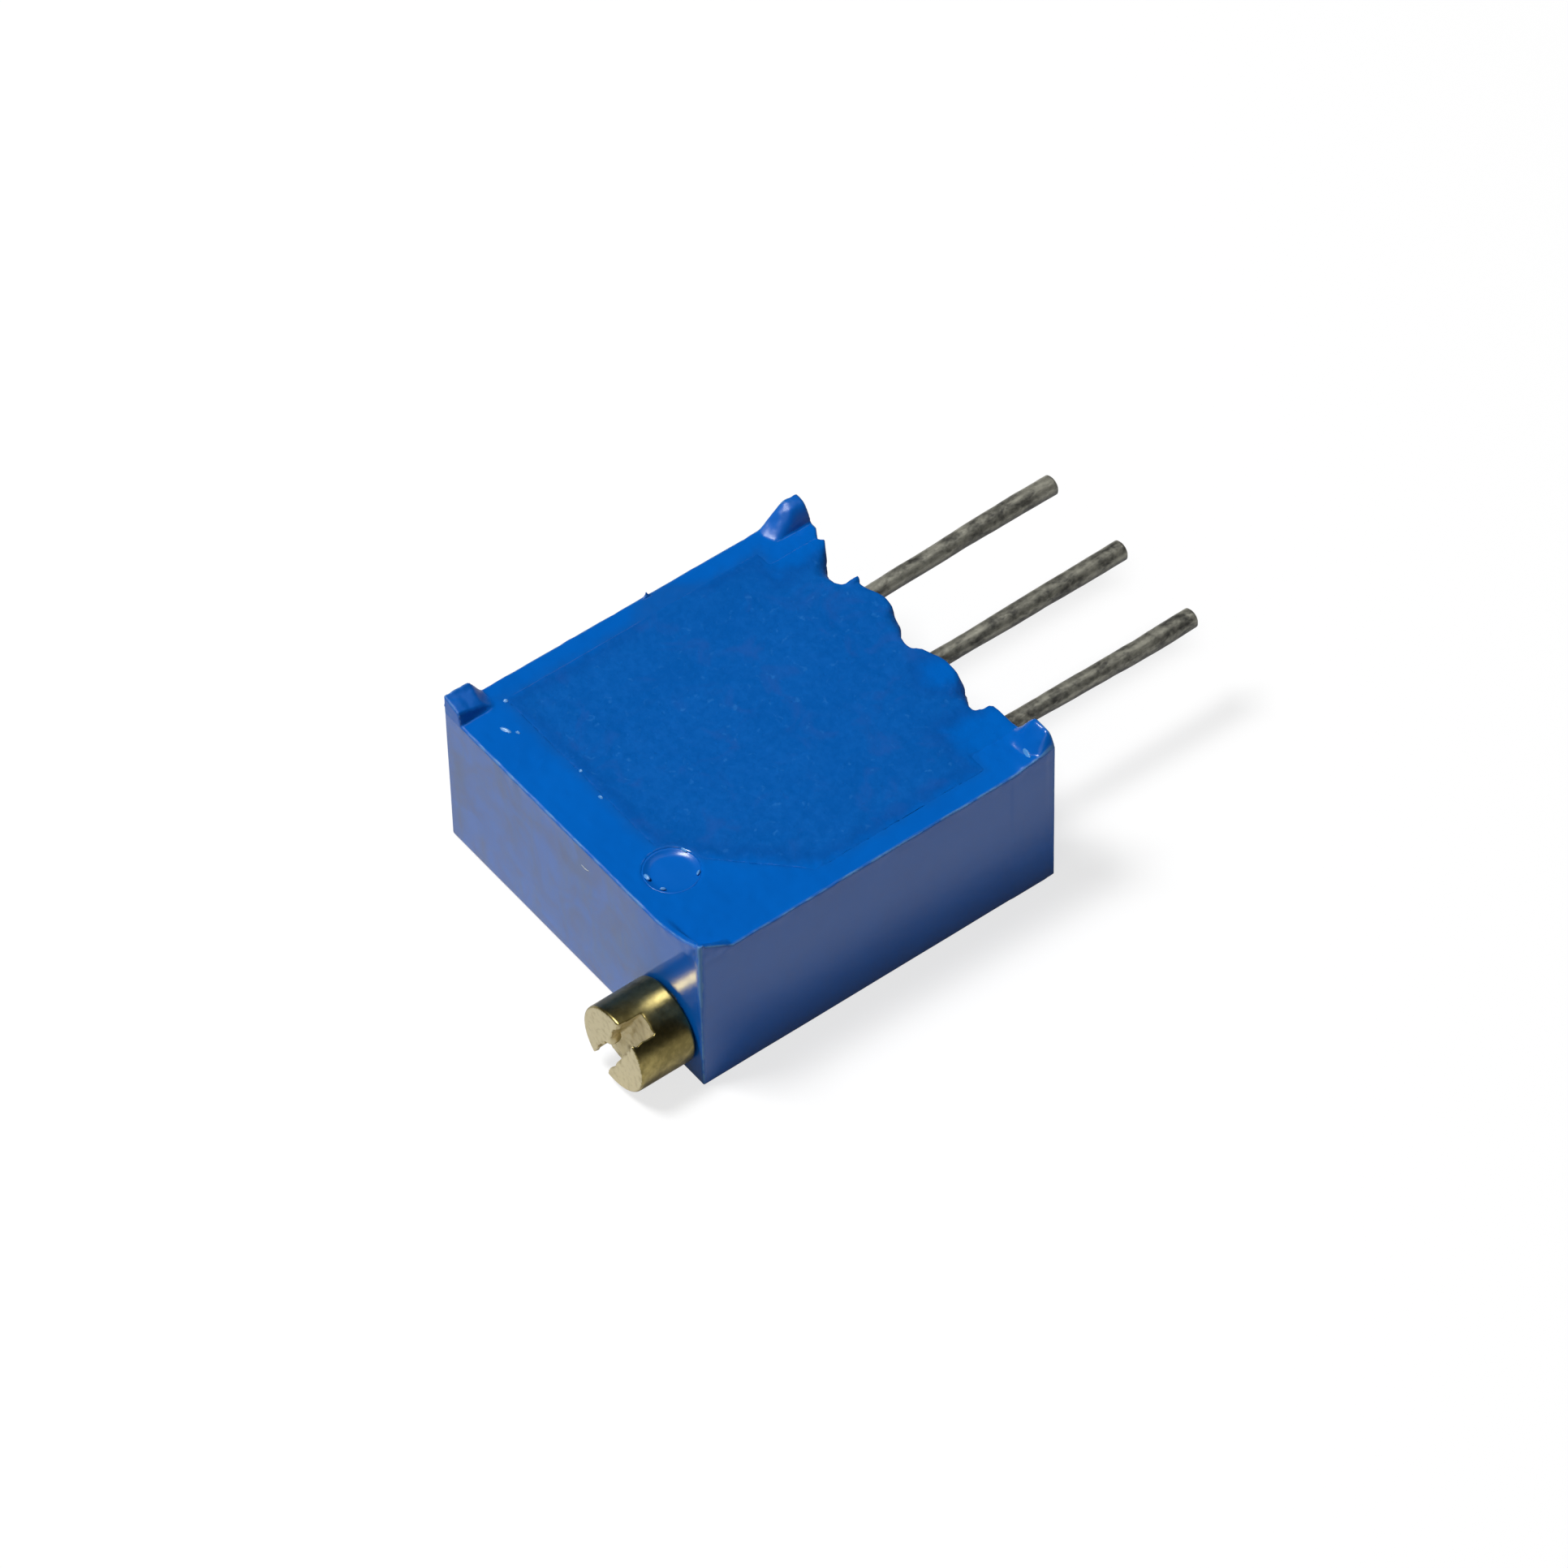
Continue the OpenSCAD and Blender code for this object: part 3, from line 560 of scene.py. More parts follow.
@dataclass(frozen=True)
class TinnedWire:
    """Dull, lumpy solder coat on a wire, with painted shade on the side turned away from the light.
    """

    colour: Colour = (0.47, 0.46, 0.38)
    dark: Colour = (0.1, 0.1, 0.09)
    # Painted shade: a near-black colour for the side of each pin that faces away from the key lamp.
    under: Colour = (0.02, 0.02, 0.024)
    polish: float = 0.32
    metallic: float = 0.7
    stretch: Triple = (1, 0.6, 1)
    relief: float = 0.02

    def material(self, name: str) -> bpy.types.Material:
        """Builds the material.

        Args:
            name: the material's name.

        Returns:
            The material.
        """
        r = Recipe(bpy.data.materials.new(name))
        place = r.place(self.stretch)
        blotch = r.noise(place, scale=3.2, detail=4, distortion=0.6)
        grain = r.noise(place, scale=14, detail=3)
        colour = r.mix((blotch * 0.7 + grain * 0.3).between(0.32, 0.66), self.dark, self.colour)
        inputs = {
            # Painted shade: the 'under' measure darkens the side of each pin turned away from the
            # light.
            "Base Color": r.mix(r.measure("under") * 0.8, colour, self.under),
            "Roughness": self.polish + blotch * 0.2,
            "Metallic": self.metallic,
        }
        return r.finish(inputs, blotch + grain * 0.5, self.relief)


class Grain(Enum):
    """How an inner piece varies: coarse and fine cells a millimetre, and stretch along it."""

    MOULDED = (0.6, 5.0, 1)
    ROLLED = (0.25, 22.0, 0.1)
    FIRED = (2.0, 18.0, 1)
    FLOWED = (1.2, 4.0, 1)


@dataclass(frozen=True)
class InnerFinish:
    """A finish of a piece inside the case, in two tones of one colour."""

    colour: Colour
    tone: Colour
    roughness: float
    metallic: float
    grain: Grain
    relief: float = 0.004

    def material(self, name: str) -> bpy.types.Material:
        """Builds the material.

        Args:
            name: the material's name.

        Returns:
            The material.
        """
        r = Recipe(bpy.data.materials.new(name))
        coarse, fine, stretch = self.grain.value
        place = r.place((1, stretch, 1))
        cloud, speck = r.noise(place, coarse, detail=3), r.noise(place, fine, detail=3)
        tones = (cloud * 0.6 + speck * 0.4).between(0.35, 0.65)
        inputs = {
            "Base Color": r.mix(tones, self.colour, self.tone),
            "Roughness": self.roughness + (speck - 0.5) * 0.2,
            "Metallic": self.metallic,
        }
        return r.finish(inputs, speck * 0.6 + cloud * 0.4, self.relief)


INNER_FINISHES = {
    "ring_rubber": InnerFinish((0.35, 0.06, 0.035), (0.25, 0.04, 0.03), 0.55, 0.0, Grain.MOULDED),
    "pin_steel": InnerFinish((0.55, 0.55, 0.56), (0.4, 0.4, 0.42), 0.25, 1.0, Grain.ROLLED),
    "rotor_nylon": InnerFinish((0.78, 0.74, 0.62), (0.7, 0.66, 0.54), 0.45, 0.0, Grain.MOULDED),
    "spring_alloy": InnerFinish((0.75, 0.46, 0.18), (0.6, 0.38, 0.16), 0.25, 1.0, Grain.ROLLED),
    "alumina": InnerFinish((0.86, 0.84, 0.78), (0.8, 0.78, 0.72), 0.6, 0.0, Grain.FIRED),
    "resistive_ink": InnerFinish((0.03, 0.03, 0.035), (0.06, 0.06, 0.065), 0.5, 0.0, Grain.FIRED),
    "conductor_ink": InnerFinish((0.6, 0.58, 0.54), (0.45, 0.44, 0.42), 0.4, 0.9, Grain.FIRED),
    "solder": InnerFinish((0.6, 0.6, 0.58), (0.45, 0.45, 0.44), 0.3, 0.9, Grain.FLOWED, 0.02),
}


# ------------------------------------------------------------------ pieces


@dataclass(frozen=True)
class Place:
    """Where a new piece belongs: its body, the nodes it stands for and its slot."""

    body: str
    nodes: tuple[str, ...]
    slot: str


def add_piece(
    name: str,
    mesh: Mesh,
    place: Place,
    material: bpy.types.Material,
    measures: dict[str, Array],
) -> bpy.types.Object:
    """Makes one smooth piece and sets it on its body.

    Args:
        name: the piece's name.
        mesh: corner places in millimetres, and the corner numbers of each face.
        place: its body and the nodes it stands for.
        material: its finish.
        measures: numbers to keep at each corner, by name.

    Returns:
        The piece.
    """
    places, faces = mesh
    data = bpy.data.meshes.new(name)
    data.from_pydata((places * MM).tolist(), [], faces)
    data.validate()
    data.shade_smooth()
    data.materials.append(material)
    for key, numbers in measures.items():
        attribute = data.attributes.new(key, "FLOAT", "POINT")
        attribute.data.foreach_set("value", numbers.astype(np.float32))
    piece = bpy.data.objects.new(name, data)
    bpy.context.scene.collection.objects.link(piece)
    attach(piece, place.body)
    if place.nodes:
        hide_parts(*place.nodes)
    log.info("%s: %d faces, for %s", name, len(data.polygons), ", ".join(place.nodes) or "trim")
    return piece


@dataclass(frozen=True)
class MattArea:
    """Where the resin on the back dried matt, as places in the plane of the back."""

    left: float = -4.25
    right: float = 4.15
    foot: float = -3.8
    bevel_from: Pair = (2.4, -3.0)
    bevel_to: Pair = (4.1, -1.15)
    left_block: Pair = (-3.4, 3.5)
    right_block: Pair = (2.75, 3.45)
    wet_patch: Triple = (1.3, 4.5, 0.42)
    spill_y: float = 0.85
    spill_l: float = 0.6
    spill_w: float = 0.75

    def depth(self, x: Array, y: Array) -> Array:
        """Measures how far places lie inside the area.

        Args:
            x: places across the body.
            y: places along the body.

        Returns:
            The distance to the area's edge, below 0 outside it.
        """
        spill = self.spill_w * bump(y, self.spill_y, self.spill_l)
        (ax, ay), (bx, by) = self.bevel_from, self.bevel_to
        bevel = ((y - ay) * (bx - ax) - (x - ax) * (by - ay)) / math.hypot(bx - ax, by - ay)
        left_block = np.maximum(x - self.left_block[0], self.left_block[1] - y)
        right_block = np.maximum(self.right_block[0] - x, self.right_block[1] - y)
        px, py, pr = self.wet_patch
        patch = np.hypot(x - px, y - py) - pr
        sides = (x - self.left + spill, self.right - x, y - self.foot)
        return np.min(np.broadcast_arrays(*sides, bevel, left_block, right_block, patch), axis=0)


@dataclass(frozen=True)
class WornPads:
    """What is left of the pads on the back's corners: shares of their full height.

    The block stands at -X -Y, the fin and its arm at +X -Y, the stump and its skirt at
    +X +Y, and the peak at -X +Y. A burr stands on the -X edge.
    """

    low: Pair
    high: Pair
    block_w: float = 0.64
    block_side: float = 0.11
    block_l: float = 1.08
    block_end: float = 0.45
    block_top: float = 0.93
    block_slope: Pair = (0.52, 0.85)
    rib_w: float = 0.3
    rib_top: float = 0.13
    fin_l: float = 1.86
    fin_sag: float = 1.8
    arm_l: float = 0.92
    arm_sag: float = 0.9
    stump_w: Pair = (1.2, 0.62)
    stump_l: Pair = (0.72, -0.02)
    stump_side: float = 0.3
    stump_worn: float = 0.62
    skirt_h: float = 0.32
    skirt_w: Pair = (0.5, 0.08)
    skirt_l: float = 1.3
    peak_h: float = 0.93
    peak_slope: float = 0.12
    peak_w: float = 0.57
    peak_round: float = 3.5
    peak_l: Pair = (1.2, 0.3)
    burr_h: float = 0.26
    burr_y: float = 0.68
    burr_l: float = 0.05
    burr_w: Pair = (0.11, 0.03)

    def rise(self, x: Array, y: Array) -> Array:
        """Works out how high the pads stand.

        Args:
            x: places across the body.
            y: places along the body.

        Returns:
            The height, from 0 on the plain back to 1 at a full pad's top.
        """
        left, right = x - self.low[0], self.high[0] - x
        screw, pins = y - self.low[1], self.high[1] - y
        pads = (
            self._block(left, screw),
            self._ribs(right, screw),
            self._stump(right, pins),
            self._peak(left, pins),
            self.burr_h * bump(y, self.burr_y, self.burr_l) * near(left, self.burr_w),
        )
        return np.max(np.broadcast_arrays(*pads), axis=0)

    def _block(self, left: Array, screw: Array) -> Array:
        """Shapes the block, whose top slopes inwards and towards the pins.

        Args:
            left: distance from the -X side.
            screw: distance from the screw's end.

        Returns:
            The block's height.
        """
        tilt, twist = self.block_slope
        top = np.clip(self.block_top - (tilt + twist * screw) * left, 0, 1)
        across = near(left, (self.block_w, self.block_w - self.block_side))
        return top * across * near(screw, (self.block_l, self.block_l - self.block_end))

    def _ribs(self, right: Array, screw: Array) -> Array:
        """Shapes the two thin ribs that meet at the screw's corner.

        Args:
            right: distance from the +X side.
            screw: distance from the screw's end.

        Returns:
            The ribs' height.
        """
        narrow = (self.rib_w, self.rib_top)
        fin = np.clip(1 - right / self.fin_l, 0, 1) ** self.fin_sag * near(screw, narrow)
        arm = np.clip(1 - screw / self.arm_l, 0, 1) ** self.arm_sag * near(right, narrow)
        return np.maximum(fin, arm)

    def _stump(self, right: Array, pins: Array) -> Array:
        """Shapes the stump, rounded off at the side, and the low skirt beside it.

        Args:
            right: distance from the +X side.
            pins: distance from the pins' end.

        Returns:
            The stump's height.
        """
        worn = 1 - self.stump_worn * np.clip(1 - right / self.stump_side, 0, 1) ** 2
        stump = near(right, self.stump_w) * near(pins, self.stump_l) * worn
        skirt = self.skirt_h * np.clip(1 - pins / self.skirt_l, 0, 1) * near(right, self.skirt_w)
        return np.maximum(stump, skirt)

    def _peak(self, left: Array, pins: Array) -> Array:
        """Returns the peak, highest on the outside, with a soft far slope."""
        across = 1 - np.clip(left / self.peak_w, 0, 1) ** self.peak_round
        return near(pins, self.peak_l) * across * (self.peak_h + self.peak_slope * left)


@dataclass
class CaseShape:
    """The sizes that the moulded body and its resin share, and their plans."""

    standoff_h: float = 0.22
    standoff_w: float = 0.75
    standoff_flank: float = 0.35
    standoff_fillet: float = 0.03
    well_gap: float = 0.08
    corner_cut: float = 2.4
    dip: float = 0.03
    boss_wall: float = 0.15
    boss_fillet: float = 0.04
    slot_w: float = 1.1
    torn_line: tuple[Pair, ...] = (
        (-3.66, 4.84), (-3.6, 4.93), (-3.3, 4.76), (-2.9, 4.5), (-2.6, 4.34), (-2.42, 4.3),
        (-2.31, 4.35), (-2.23, 4.42), (-2.2, 4.66), (-2.16, 4.8), (-2.09, 4.79), (-2.02, 4.74),
        (-1.96, 4.75), (-1.7, 4.83), (-1.35, 4.93), (-1.04, 4.95), (-0.73, 4.91), (-0.42, 4.68),
        (-0.15, 4.48), (0.1, 4.42), (0.27, 4.45), (0.41, 4.61), (0.68, 4.7), (1.1, 4.83),
        (1.48, 4.83), (1.9, 4.76), (2.12, 4.62), (2.42, 4.42), (2.62, 4.38), (2.69, 4.5),
        (2.76, 4.81), (3.0, 4.83),
    )
    torn_depth: float = 0.03
    lip_h: float = 0.5
    scoop_edge: float = 0.1
    sags: Triple = (-2.95, -0.7, 1.95)
    sag_w: float = 0.34
    tooth: Triple = (-2.14, 4.8, 0.11)
    tooth_w: float = 0.08
    tooth_l: float = 0.4
    edge_rough: float = 0.02
    edge_reach: Pair = (-0.12, -0.01)
    pad_rough: float = 0.045
    pad_rough_h: float = 0.6
    cover: Pair = (-3.665, 3.62)
    cover_l: float = 0.5
    cover_t: float = 0.48
    seam_w: Pair = (0.4, 0.25)
    seam_on_bevel: tuple[Pair, Pair] = ((2.2, 2.5), (4.2, 3.9))
    seam_beside: tuple[Pair, Pair, Pair] = ((-3.7, -3.9), (-3.7, -3.4), (0.4, -0.1))
    tear: Unevenness = Unevenness(3, 0.3, 3)
    flash: Unevenness = Unevenness(11, 0.22, 3)
    matt: MattArea = MattArea()

    def __post_init__(self) -> None:
        """Reads the case's own box and the wells from the frame."""
        self.low, self.high = corners("housing")
        plate_low, plate_high = corners("ceramic_substrate")
        self.ledge = plate_low[2]
        self.well_low = plate_low[:2] - self.well_gap
        self.well_high = plate_high[:2] + self.well_gap
        self.resin_low = plate_high[2]
        self.back = corners("potting")[1][2] + self.dip
        self.wall = self.high[1] - self.standoff_h
        self.pin_x = [middle(n)[0] for n in ("left_pin", "centre_pin", "right_pin")]
        self.pin_z = middle("centre_pin")[2]
        self.seal, self.seal_r = middle("pin_sealant"), radius_of("pin_sealant")
        self.pads = WornPads(tuple(self.low[:2]), tuple(self.high[:2]))

    def plan(self, x: Array, y: Array) -> Array:
        """Measures to the body's outline, with its two standoffs.

        Args:
            x: places across the body.
            y: places along the body.

        Returns:
            The distance, below 0 inside the body.
        """
        half = self.high[0]
        body = oblong(x, y, (-half, self.low[1]), (half, self.wall))
        run, rise = self.standoff_flank, self.standoff_h
        slant = math.hypot(run, rise)
        side = np.abs(x)
        flank = ((y - self.high[1]) * run - (side - half + self.standoff_w) * rise) / slant
        ends = np.maximum(y - self.high[1], self.wall - 1 - y)
        foot = np.maximum(np.maximum(side - half, ends), flank)
        return merge(body, foot, self.standoff_fillet)

    def well(self, x: Array, y: Array) -> Array:
        """Measures to the well's outline.

        Args:
            x: places across the body.
            y: places along the body.

        Returns:
            The distance, below 0 inside the well.
        """
        box = oblong(x, y, tuple(self.well_low), tuple(self.well_high))
        boss = np.hypot(x - self.seal[0], y - self.seal[1]) - self.seal_r - self.boss_wall
        return cut(np.maximum(box, self._bevel(x, y)), boss, self.boss_fillet)

    def _bevel(self, x: Array, y: Array) -> Array:
        """Returns the distance to the slanting side of the well."""
        return (x - self.well_high[0] - y + self.well_low[1] + self.corner_cut) / math.sqrt(2)

    def slot(self, x: Array, z: Array) -> Array:
        """Returns the distance to the nearest pin slot, below 0 inside a slot."""
        nearest = np.min([np.abs(x - pin) for pin in self.pin_x], axis=0)
        return np.hypot(nearest, np.minimum(z - self.pin_z, 0)) - self.slot_w / 2

    def filled(self, x: Array, y: Array) -> Array:
        """Measures to the resin's outline at the back: the well, and over the pin wall.

        Args:
            x: places across the body.
            y: places along the body.

        Returns:
            The distance, below 0 inside the outline.
        """
        left, right = self.cover
        start, end = self.well_high[1] - self.cover_l, self.wall + 1
        return np.minimum(self.well(x, y), oblong(x, y, (left, start), (right, end)))

    def front(self, x: Array, z: Array) -> Array:
        """Works out how far the pin wall reaches: a torn line, scooped out above each pin.

        Args:
            x: places across the body.
            z: places above the front face.

        Returns:
            The wall's place along the body.
        """
        flat = 0 * x
        line = np.interp(x, *zip(*self.torn_line)) + self.torn_depth * self.tear(x, flat, flat)
        scooped = ramp(z, self.pin_z - self.slot_w / 2, self.pin_z + self.scoop_edge)
        lip = ramp(z, self.back - self.lip_h, self.back) * np.maximum(line - self.wall, 0)
        return self.wall + lip - scooped * np.maximum(self.wall - line, 0)

    def flank(self, x: Array) -> Array:
        """Returns 1 in the middle of each scoop's left side, where the resin sags, falling to 0."""
        return sum(bump(x, place, self.sag_w) for place in self.sags)

    def surface(self, x: Array, y: Array) -> Array:
        """Works out the height of the back, with its pads and uneven edges.

        Args:
            x: places across the body.
            y: places along the body.

        Returns:
            The height above the front face.
        """
        tip_x, tip_y, tip_h = self.tooth
        tip = tip_h * bump(x, tip_x, self.tooth_w) * ramp(y, tip_y - self.tooth_l, tip_y)
        rise = (self.high[2] - self.back) * self.pads.rise(x, y) + tip
        rough = self.edge_rough * ramp(-self.plan(x, y), *self.edge_reach)
        rough = rough + self.pad_rough * np.clip(rise, 0, self.pad_rough_h)
        return self.back + rise + rough * self.flash(x, y, 0 * x * y)

    def seam(self, x: Array, y: Array) -> Array:
        """Finds the joint between resin and case, where it shows as a fine groove.

        Args:
            x: places across the body.
            y: places along the body.

        Returns:
            1 on the joint and 0 away from it.
        """
        start, end = self.seam_on_bevel
        on_bevel = near(np.abs(self._bevel(x, y)), self.seam_w) * ramp(x, *start) * near(x, end)
        side, foot, top = self.seam_beside
        return np.maximum(on_bevel, near(x, side) * near(y, top) * ramp(y, *foot))


@dataclass
class MouldedBody:
    """The moulded case with its drive chamber, bores, slots and worn corner pads."""

    shape: CaseShape
    front_r: float = 0.1
    back_r: float = 0.045
    lip_r: float = 0.03
    rough_h: float = 0.5
    rough_depth: float = 0.012
    wave_depth: float = 0.004
    slot_reach: float = 0.3
    floor: float = 0.45
    chamber_gap: float = 0.12
    chamber_over: float = 0.5
    ring_gap: float = 0.01
    bore_end: float = 0.66
    tail_bore_r: float = 0.42
    tail_gap: float = 0.04
    mouth_depth: float = 0.2
    mouth_lip: float = 0.05
    pivot_r: float = 0.7
    pivot_h: float = 0.95
    pivot_foot: float = 0.1
    # Painted highlight in part: the edge and corner reaches set where a pale highlight colour is
    # painted, besides the rougher gloss.
    edge_rub_and_highlight: Pair = (0.015, 0.09)
    corner_rub_and_highlight: float = 1.3
    corner_rub_and_highlight_r: float = 0.12
    corner_rub_and_highlight_z: Pair = (1.4, 3.4)
    pad_wear: Pair = (0.6, 0.3)
    pad_wear_h: Pair = (-0.01, 0.04)
    pad_wear_z: Pair = (0.15, 0.02)
    back_edge: float = 0.06
    handled: float = 0.12
    handled_y: Pair = (4.6, 5.0)
    handled_x: Pair = (3.6, 2.0)
    wave: Unevenness = Unevenness(12, 1.1, 2)

    def axes(self) -> tuple[Array, Array, Array]:
        """Sets the sample places, closer together where the shape is fine.

        Returns:
            The places along X, Y and Z.
        """
        s = self.shape
        half, start, end = s.high[0] + SPARE, s.low[1], s.high[1] + SPARE
        return (
            axis(-half, (-half + 0.72, 0.035), (-2.5, 0.1), (-1.95, 0.03), (1.45, 0.12),
                 (4.3, 0.063), (half, 0.035)),
            axis(start - SPARE, (start + 0.4, 0.03), (-2.9, 0.055), (-1.1, 0.075), (3.2, 0.13),
                 (end, 0.035)),
            axis(-SPARE, (0.18, 0.035), (3.9, 0.16), (s.back - 0.12, 0.06),
                 (s.high[2] + SPARE, 0.03)),
        )

    def field(self, x: Array, y: Array, z: Array) -> Array:
        """Works out the solid's field.

        Args:
            x: places across the body.
            y: places along the body.
            z: places above the front face.

        Returns:
            The field, below 0 inside the solid.
        """
        s = self.shape
        rough = self.rough_depth * ramp(z, s.back - self.rough_h, s.back) * s.flash(x, y, z)
        plan = s.plan(x, y) + rough + self.wave_depth * self.wave(x, y, z)
        solid = meet(meet(plan, z - s.surface(x, y), self.back_r), -z, self.front_r)
        solid = cut(solid, np.maximum(s.well(x, y), s.ledge - z), self.lip_r)
        solid = cut(solid, np.maximum(s.filled(x, y), s.back - s.cover_t - z), self.lip_r)
        at_pins = np.abs(x) < s.high[0] - s.standoff_w - s.standoff_flank
        solid = np.maximum(solid, np.where(at_pins, y - s.front(x, z), -1))
        slot = np.maximum(s.slot(x, z), s.well_high[1] - self.slot_reach - y)
        return self._inside(cut(solid, slot, self.lip_r), x, y, z)

    def _inside(self, solid: Array, x: Array, y: Array, z: Array) -> Array:
        """Takes the chamber, the bores and the pin's hole out, and puts the pivot back.

        Args:
            solid: the field of the case without them.
            x: places across the body.
            y: places along the body.
            z: places above the front face.

        Returns:
            The field of the finished case.
        """
        s = self.shape
        hub, screw, lock = (middle(n) for n in ("rotor", "adjustment_screw", "retaining_pin"))
        tail_end = corners("adjustment_screw")[1][1]
        from_hub = np.hypot(x - hub[0], y - hub[1])
        from_screw = np.hypot(x - screw[0], z - screw[2])
        from_lock = np.hypot(x - lock[0], y - lock[1])
        from_seal = np.hypot(x - s.seal[0], y - s.seal[1])
        chamber_r = radius_of("rotor") + self.chamber_gap
        hollows = (
            (from_hub - chamber_r, np.maximum(self.floor - z, z - s.ledge - self.chamber_over)),
            (from_screw - radius_of("screw_o_ring") - self.ring_gap, y - tail_end + self.bore_end),
            (from_screw - self.tail_bore_r, y - tail_end - self.tail_gap),
            (from_lock - radius_of("retaining_pin"), self.floor - z),
        )
        for round_side, ends in hollows:
            solid = np.maximum(solid, -np.maximum(round_side, ends))
        mouth = np.maximum(from_seal - s.seal_r, s.back - self.mouth_depth - z)
        solid = cut(solid, mouth, self.mouth_lip)
        ends = np.maximum(z - self.floor - self.pivot_h, self.floor - self.pivot_foot - z)
        return np.minimum(solid, np.maximum(from_hub - self.pivot_r, ends))

    def _wear_and_highlight(self, x: Array, y: Array, z: Array) -> Array:
        """Finds the pads, where the gloss is worn off, and the outer edges and the screw's corner,
        where it is worn and a pale highlight is painted.

        Args:
            x: places across the body.
            y: places along the body.
            z: places above the front face.

        Returns:
            0 where the gloss is whole, and 1 and more where it is worn and, on the edges, painted
            pale as a highlight.
        """
        s = self.shape
        top = s.surface(x, y)
        # Painted highlight: the outer edges and the +X -Y corner edge get the pale colour, standing
        # in for the light they catch; the rougher gloss there is wear.
        faces = np.abs([s.high[0] - np.abs(x), y - s.low[1], s.high[1] - y, z, top - z])
        on_edge = 1 - ramp(np.sort(faces, axis=0)[1], *self.edge_rub_and_highlight)
        from_corner = np.hypot(x - s.high[0], y - s.low[1])
        on_corner = bump(from_corner, 0, self.corner_rub_and_highlight_r) * ramp(z, *self.corner_rub_and_highlight_z)
        on_pad = np.where(x > 0, self.pad_wear[1], self.pad_wear[0])
        on_pad = on_pad * ramp(top - s.back, *self.pad_wear_h) * near(s.back - z, self.pad_wear_z)
        return np.max([on_edge, on_pad, self.corner_rub_and_highlight * on_corner], axis=0)

    def build(self) -> bpy.types.Object:
        """Makes the case and its finish.

        Returns:
            The piece.
        """
        axes = self.axes()
        mesh = skin(self.field(*crossing(axes)), axes)
        x, y, z = mesh[0].T
        on_back = z > self.shape.back - self.back_edge
        face = ramp(-y, *self.handled_y) * near(x, self.handled_x)
        measures = {
            "matt": np.where(on_back, self.shape.matt.depth(x, y), -1.0),
            "flank": np.where(on_back, 0.0, self.handled + (1 - self.handled) * face),
            "worn": self._wear_and_highlight(x, y, z),
        }
        place = Place("case", ("housing",), "moulded_body")
        finish = MouldedBlue().material("moulded_blue")
        return add_piece("moulded_case", mesh, place, finish, measures)


@dataclass
class CastResin:
    """The resin over the ceramic, with its tongues round the pins."""

    shape: CaseShape
    swell: Unevenness = Unevenness(21, 0.9, 3)
    rim: Unevenness = Unevenness(22, 0.3, 2)
    lap: float = 0.13
    lap_at_seam: float = 0.3
    film_t: float = 0.05
    film_h: float = 0.007
    feather: float = 0.02
    feather_rough: float = 0.02
    feather_reach: Pair = (0.02, 0.1)
    seam_depth: float = 0.006
    shore: float = 0.5
    swell_h: float = 0.014
    sunk: float = 0.01
    bite: float = 0.004
    top_r: float = 0.003
    lip_r: float = 0.05
    lip_slope: float = 0.8
    sag_r: float = 0.44
    tongue: Pair = (0.2, 0.1)
    crest: float = 0.21

    def axes(self) -> tuple[Array, Array, Array]:
        """Sets the sample places, closer together where the shape is fine.

        Returns:
            The places along X, Y and Z.
        """
        s = self.shape
        left, start = s.well_low
        return (
            axis(left - SPARE, (left + 0.15, 0.035), (-2.5, 0.1), (-1.95, 0.025), (1.45, 0.1),
                 (s.well_high[0] + SPARE, 0.055)),
            axis(start - SPARE, (start + 0.2, 0.03), (-1.1, 0.055), (3.2, 0.12),
                 (s.wall + 0.15, 0.035)),
            axis(s.ledge - SPARE, (s.back - 0.3, 0.12), (s.back - 0.1, 0.03),
                 (s.back + SPARE, 0.012), (s.back + self.crest, 0.03)),
        )

    def top(self, x: Array, y: Array) -> Array:
        """Works out the resin's top, which thins out over the case and sinks along the seams.

        Args:
            x: places across the body.
            y: places along the body.

        Returns:
            The height above the front face.
        """
        s = self.shape
        edge, flat = s.filled(x, y), 0 * x
        inside = near(edge, (0, -self.shore))
        waves = (self.swell_h * self.swell(x, y, flat) - self.sunk) * inside
        ragged = edge + self.feather_rough * self.rim(x, y, flat)
        thinned = self.feather * ramp(ragged, *self.feather_reach) + self.seam_depth * s.seam(x, y)
        return s.surface(x, y) + self.film_h - thinned + waves

    def build(self) -> bpy.types.Object:
        """Makes the resin and its finish.

        Returns:
            The piece.
        """
        s = self.shape
        axes = self.axes()
        x, y, z = crossing(axes)
        filled = s.filled(x, y)
        inner, outer = s.well_high[1] - self.tongue[0], s.wall + self.tongue[1]
        tongue = np.maximum(s.slot(x, z), np.maximum(y - outer, inner - y))
        body = np.maximum(s.well(x, y), s.resin_low - z)
        layer = np.maximum(filled, s.back - s.cover_t - z)
        spread = self.lap * (1 - (1 - self.lap_at_seam) * s.seam(x, y))
        film = np.maximum(filled - spread, s.back - self.film_t - z)
        solid = np.minimum(np.minimum(np.minimum(body, tongue), layer) - self.bite, film)
        solid = meet(solid, z - self.top(x, y), self.top_r)
        lip = self.lip_r + (self.sag_r - self.lip_r) * s.flank(x)
        solid = meet(solid, (y - s.front(x, z)) * self.lip_slope, lip)
        mesh = skin(solid, axes)
        measures = {"matt": s.matt.depth(*mesh[0].T[:2])}
        place = Place("case", ("potting",), "potting_resin")
        return add_piece("cast_resin", mesh, place, CastBlue().material("cast_blue"), measures)


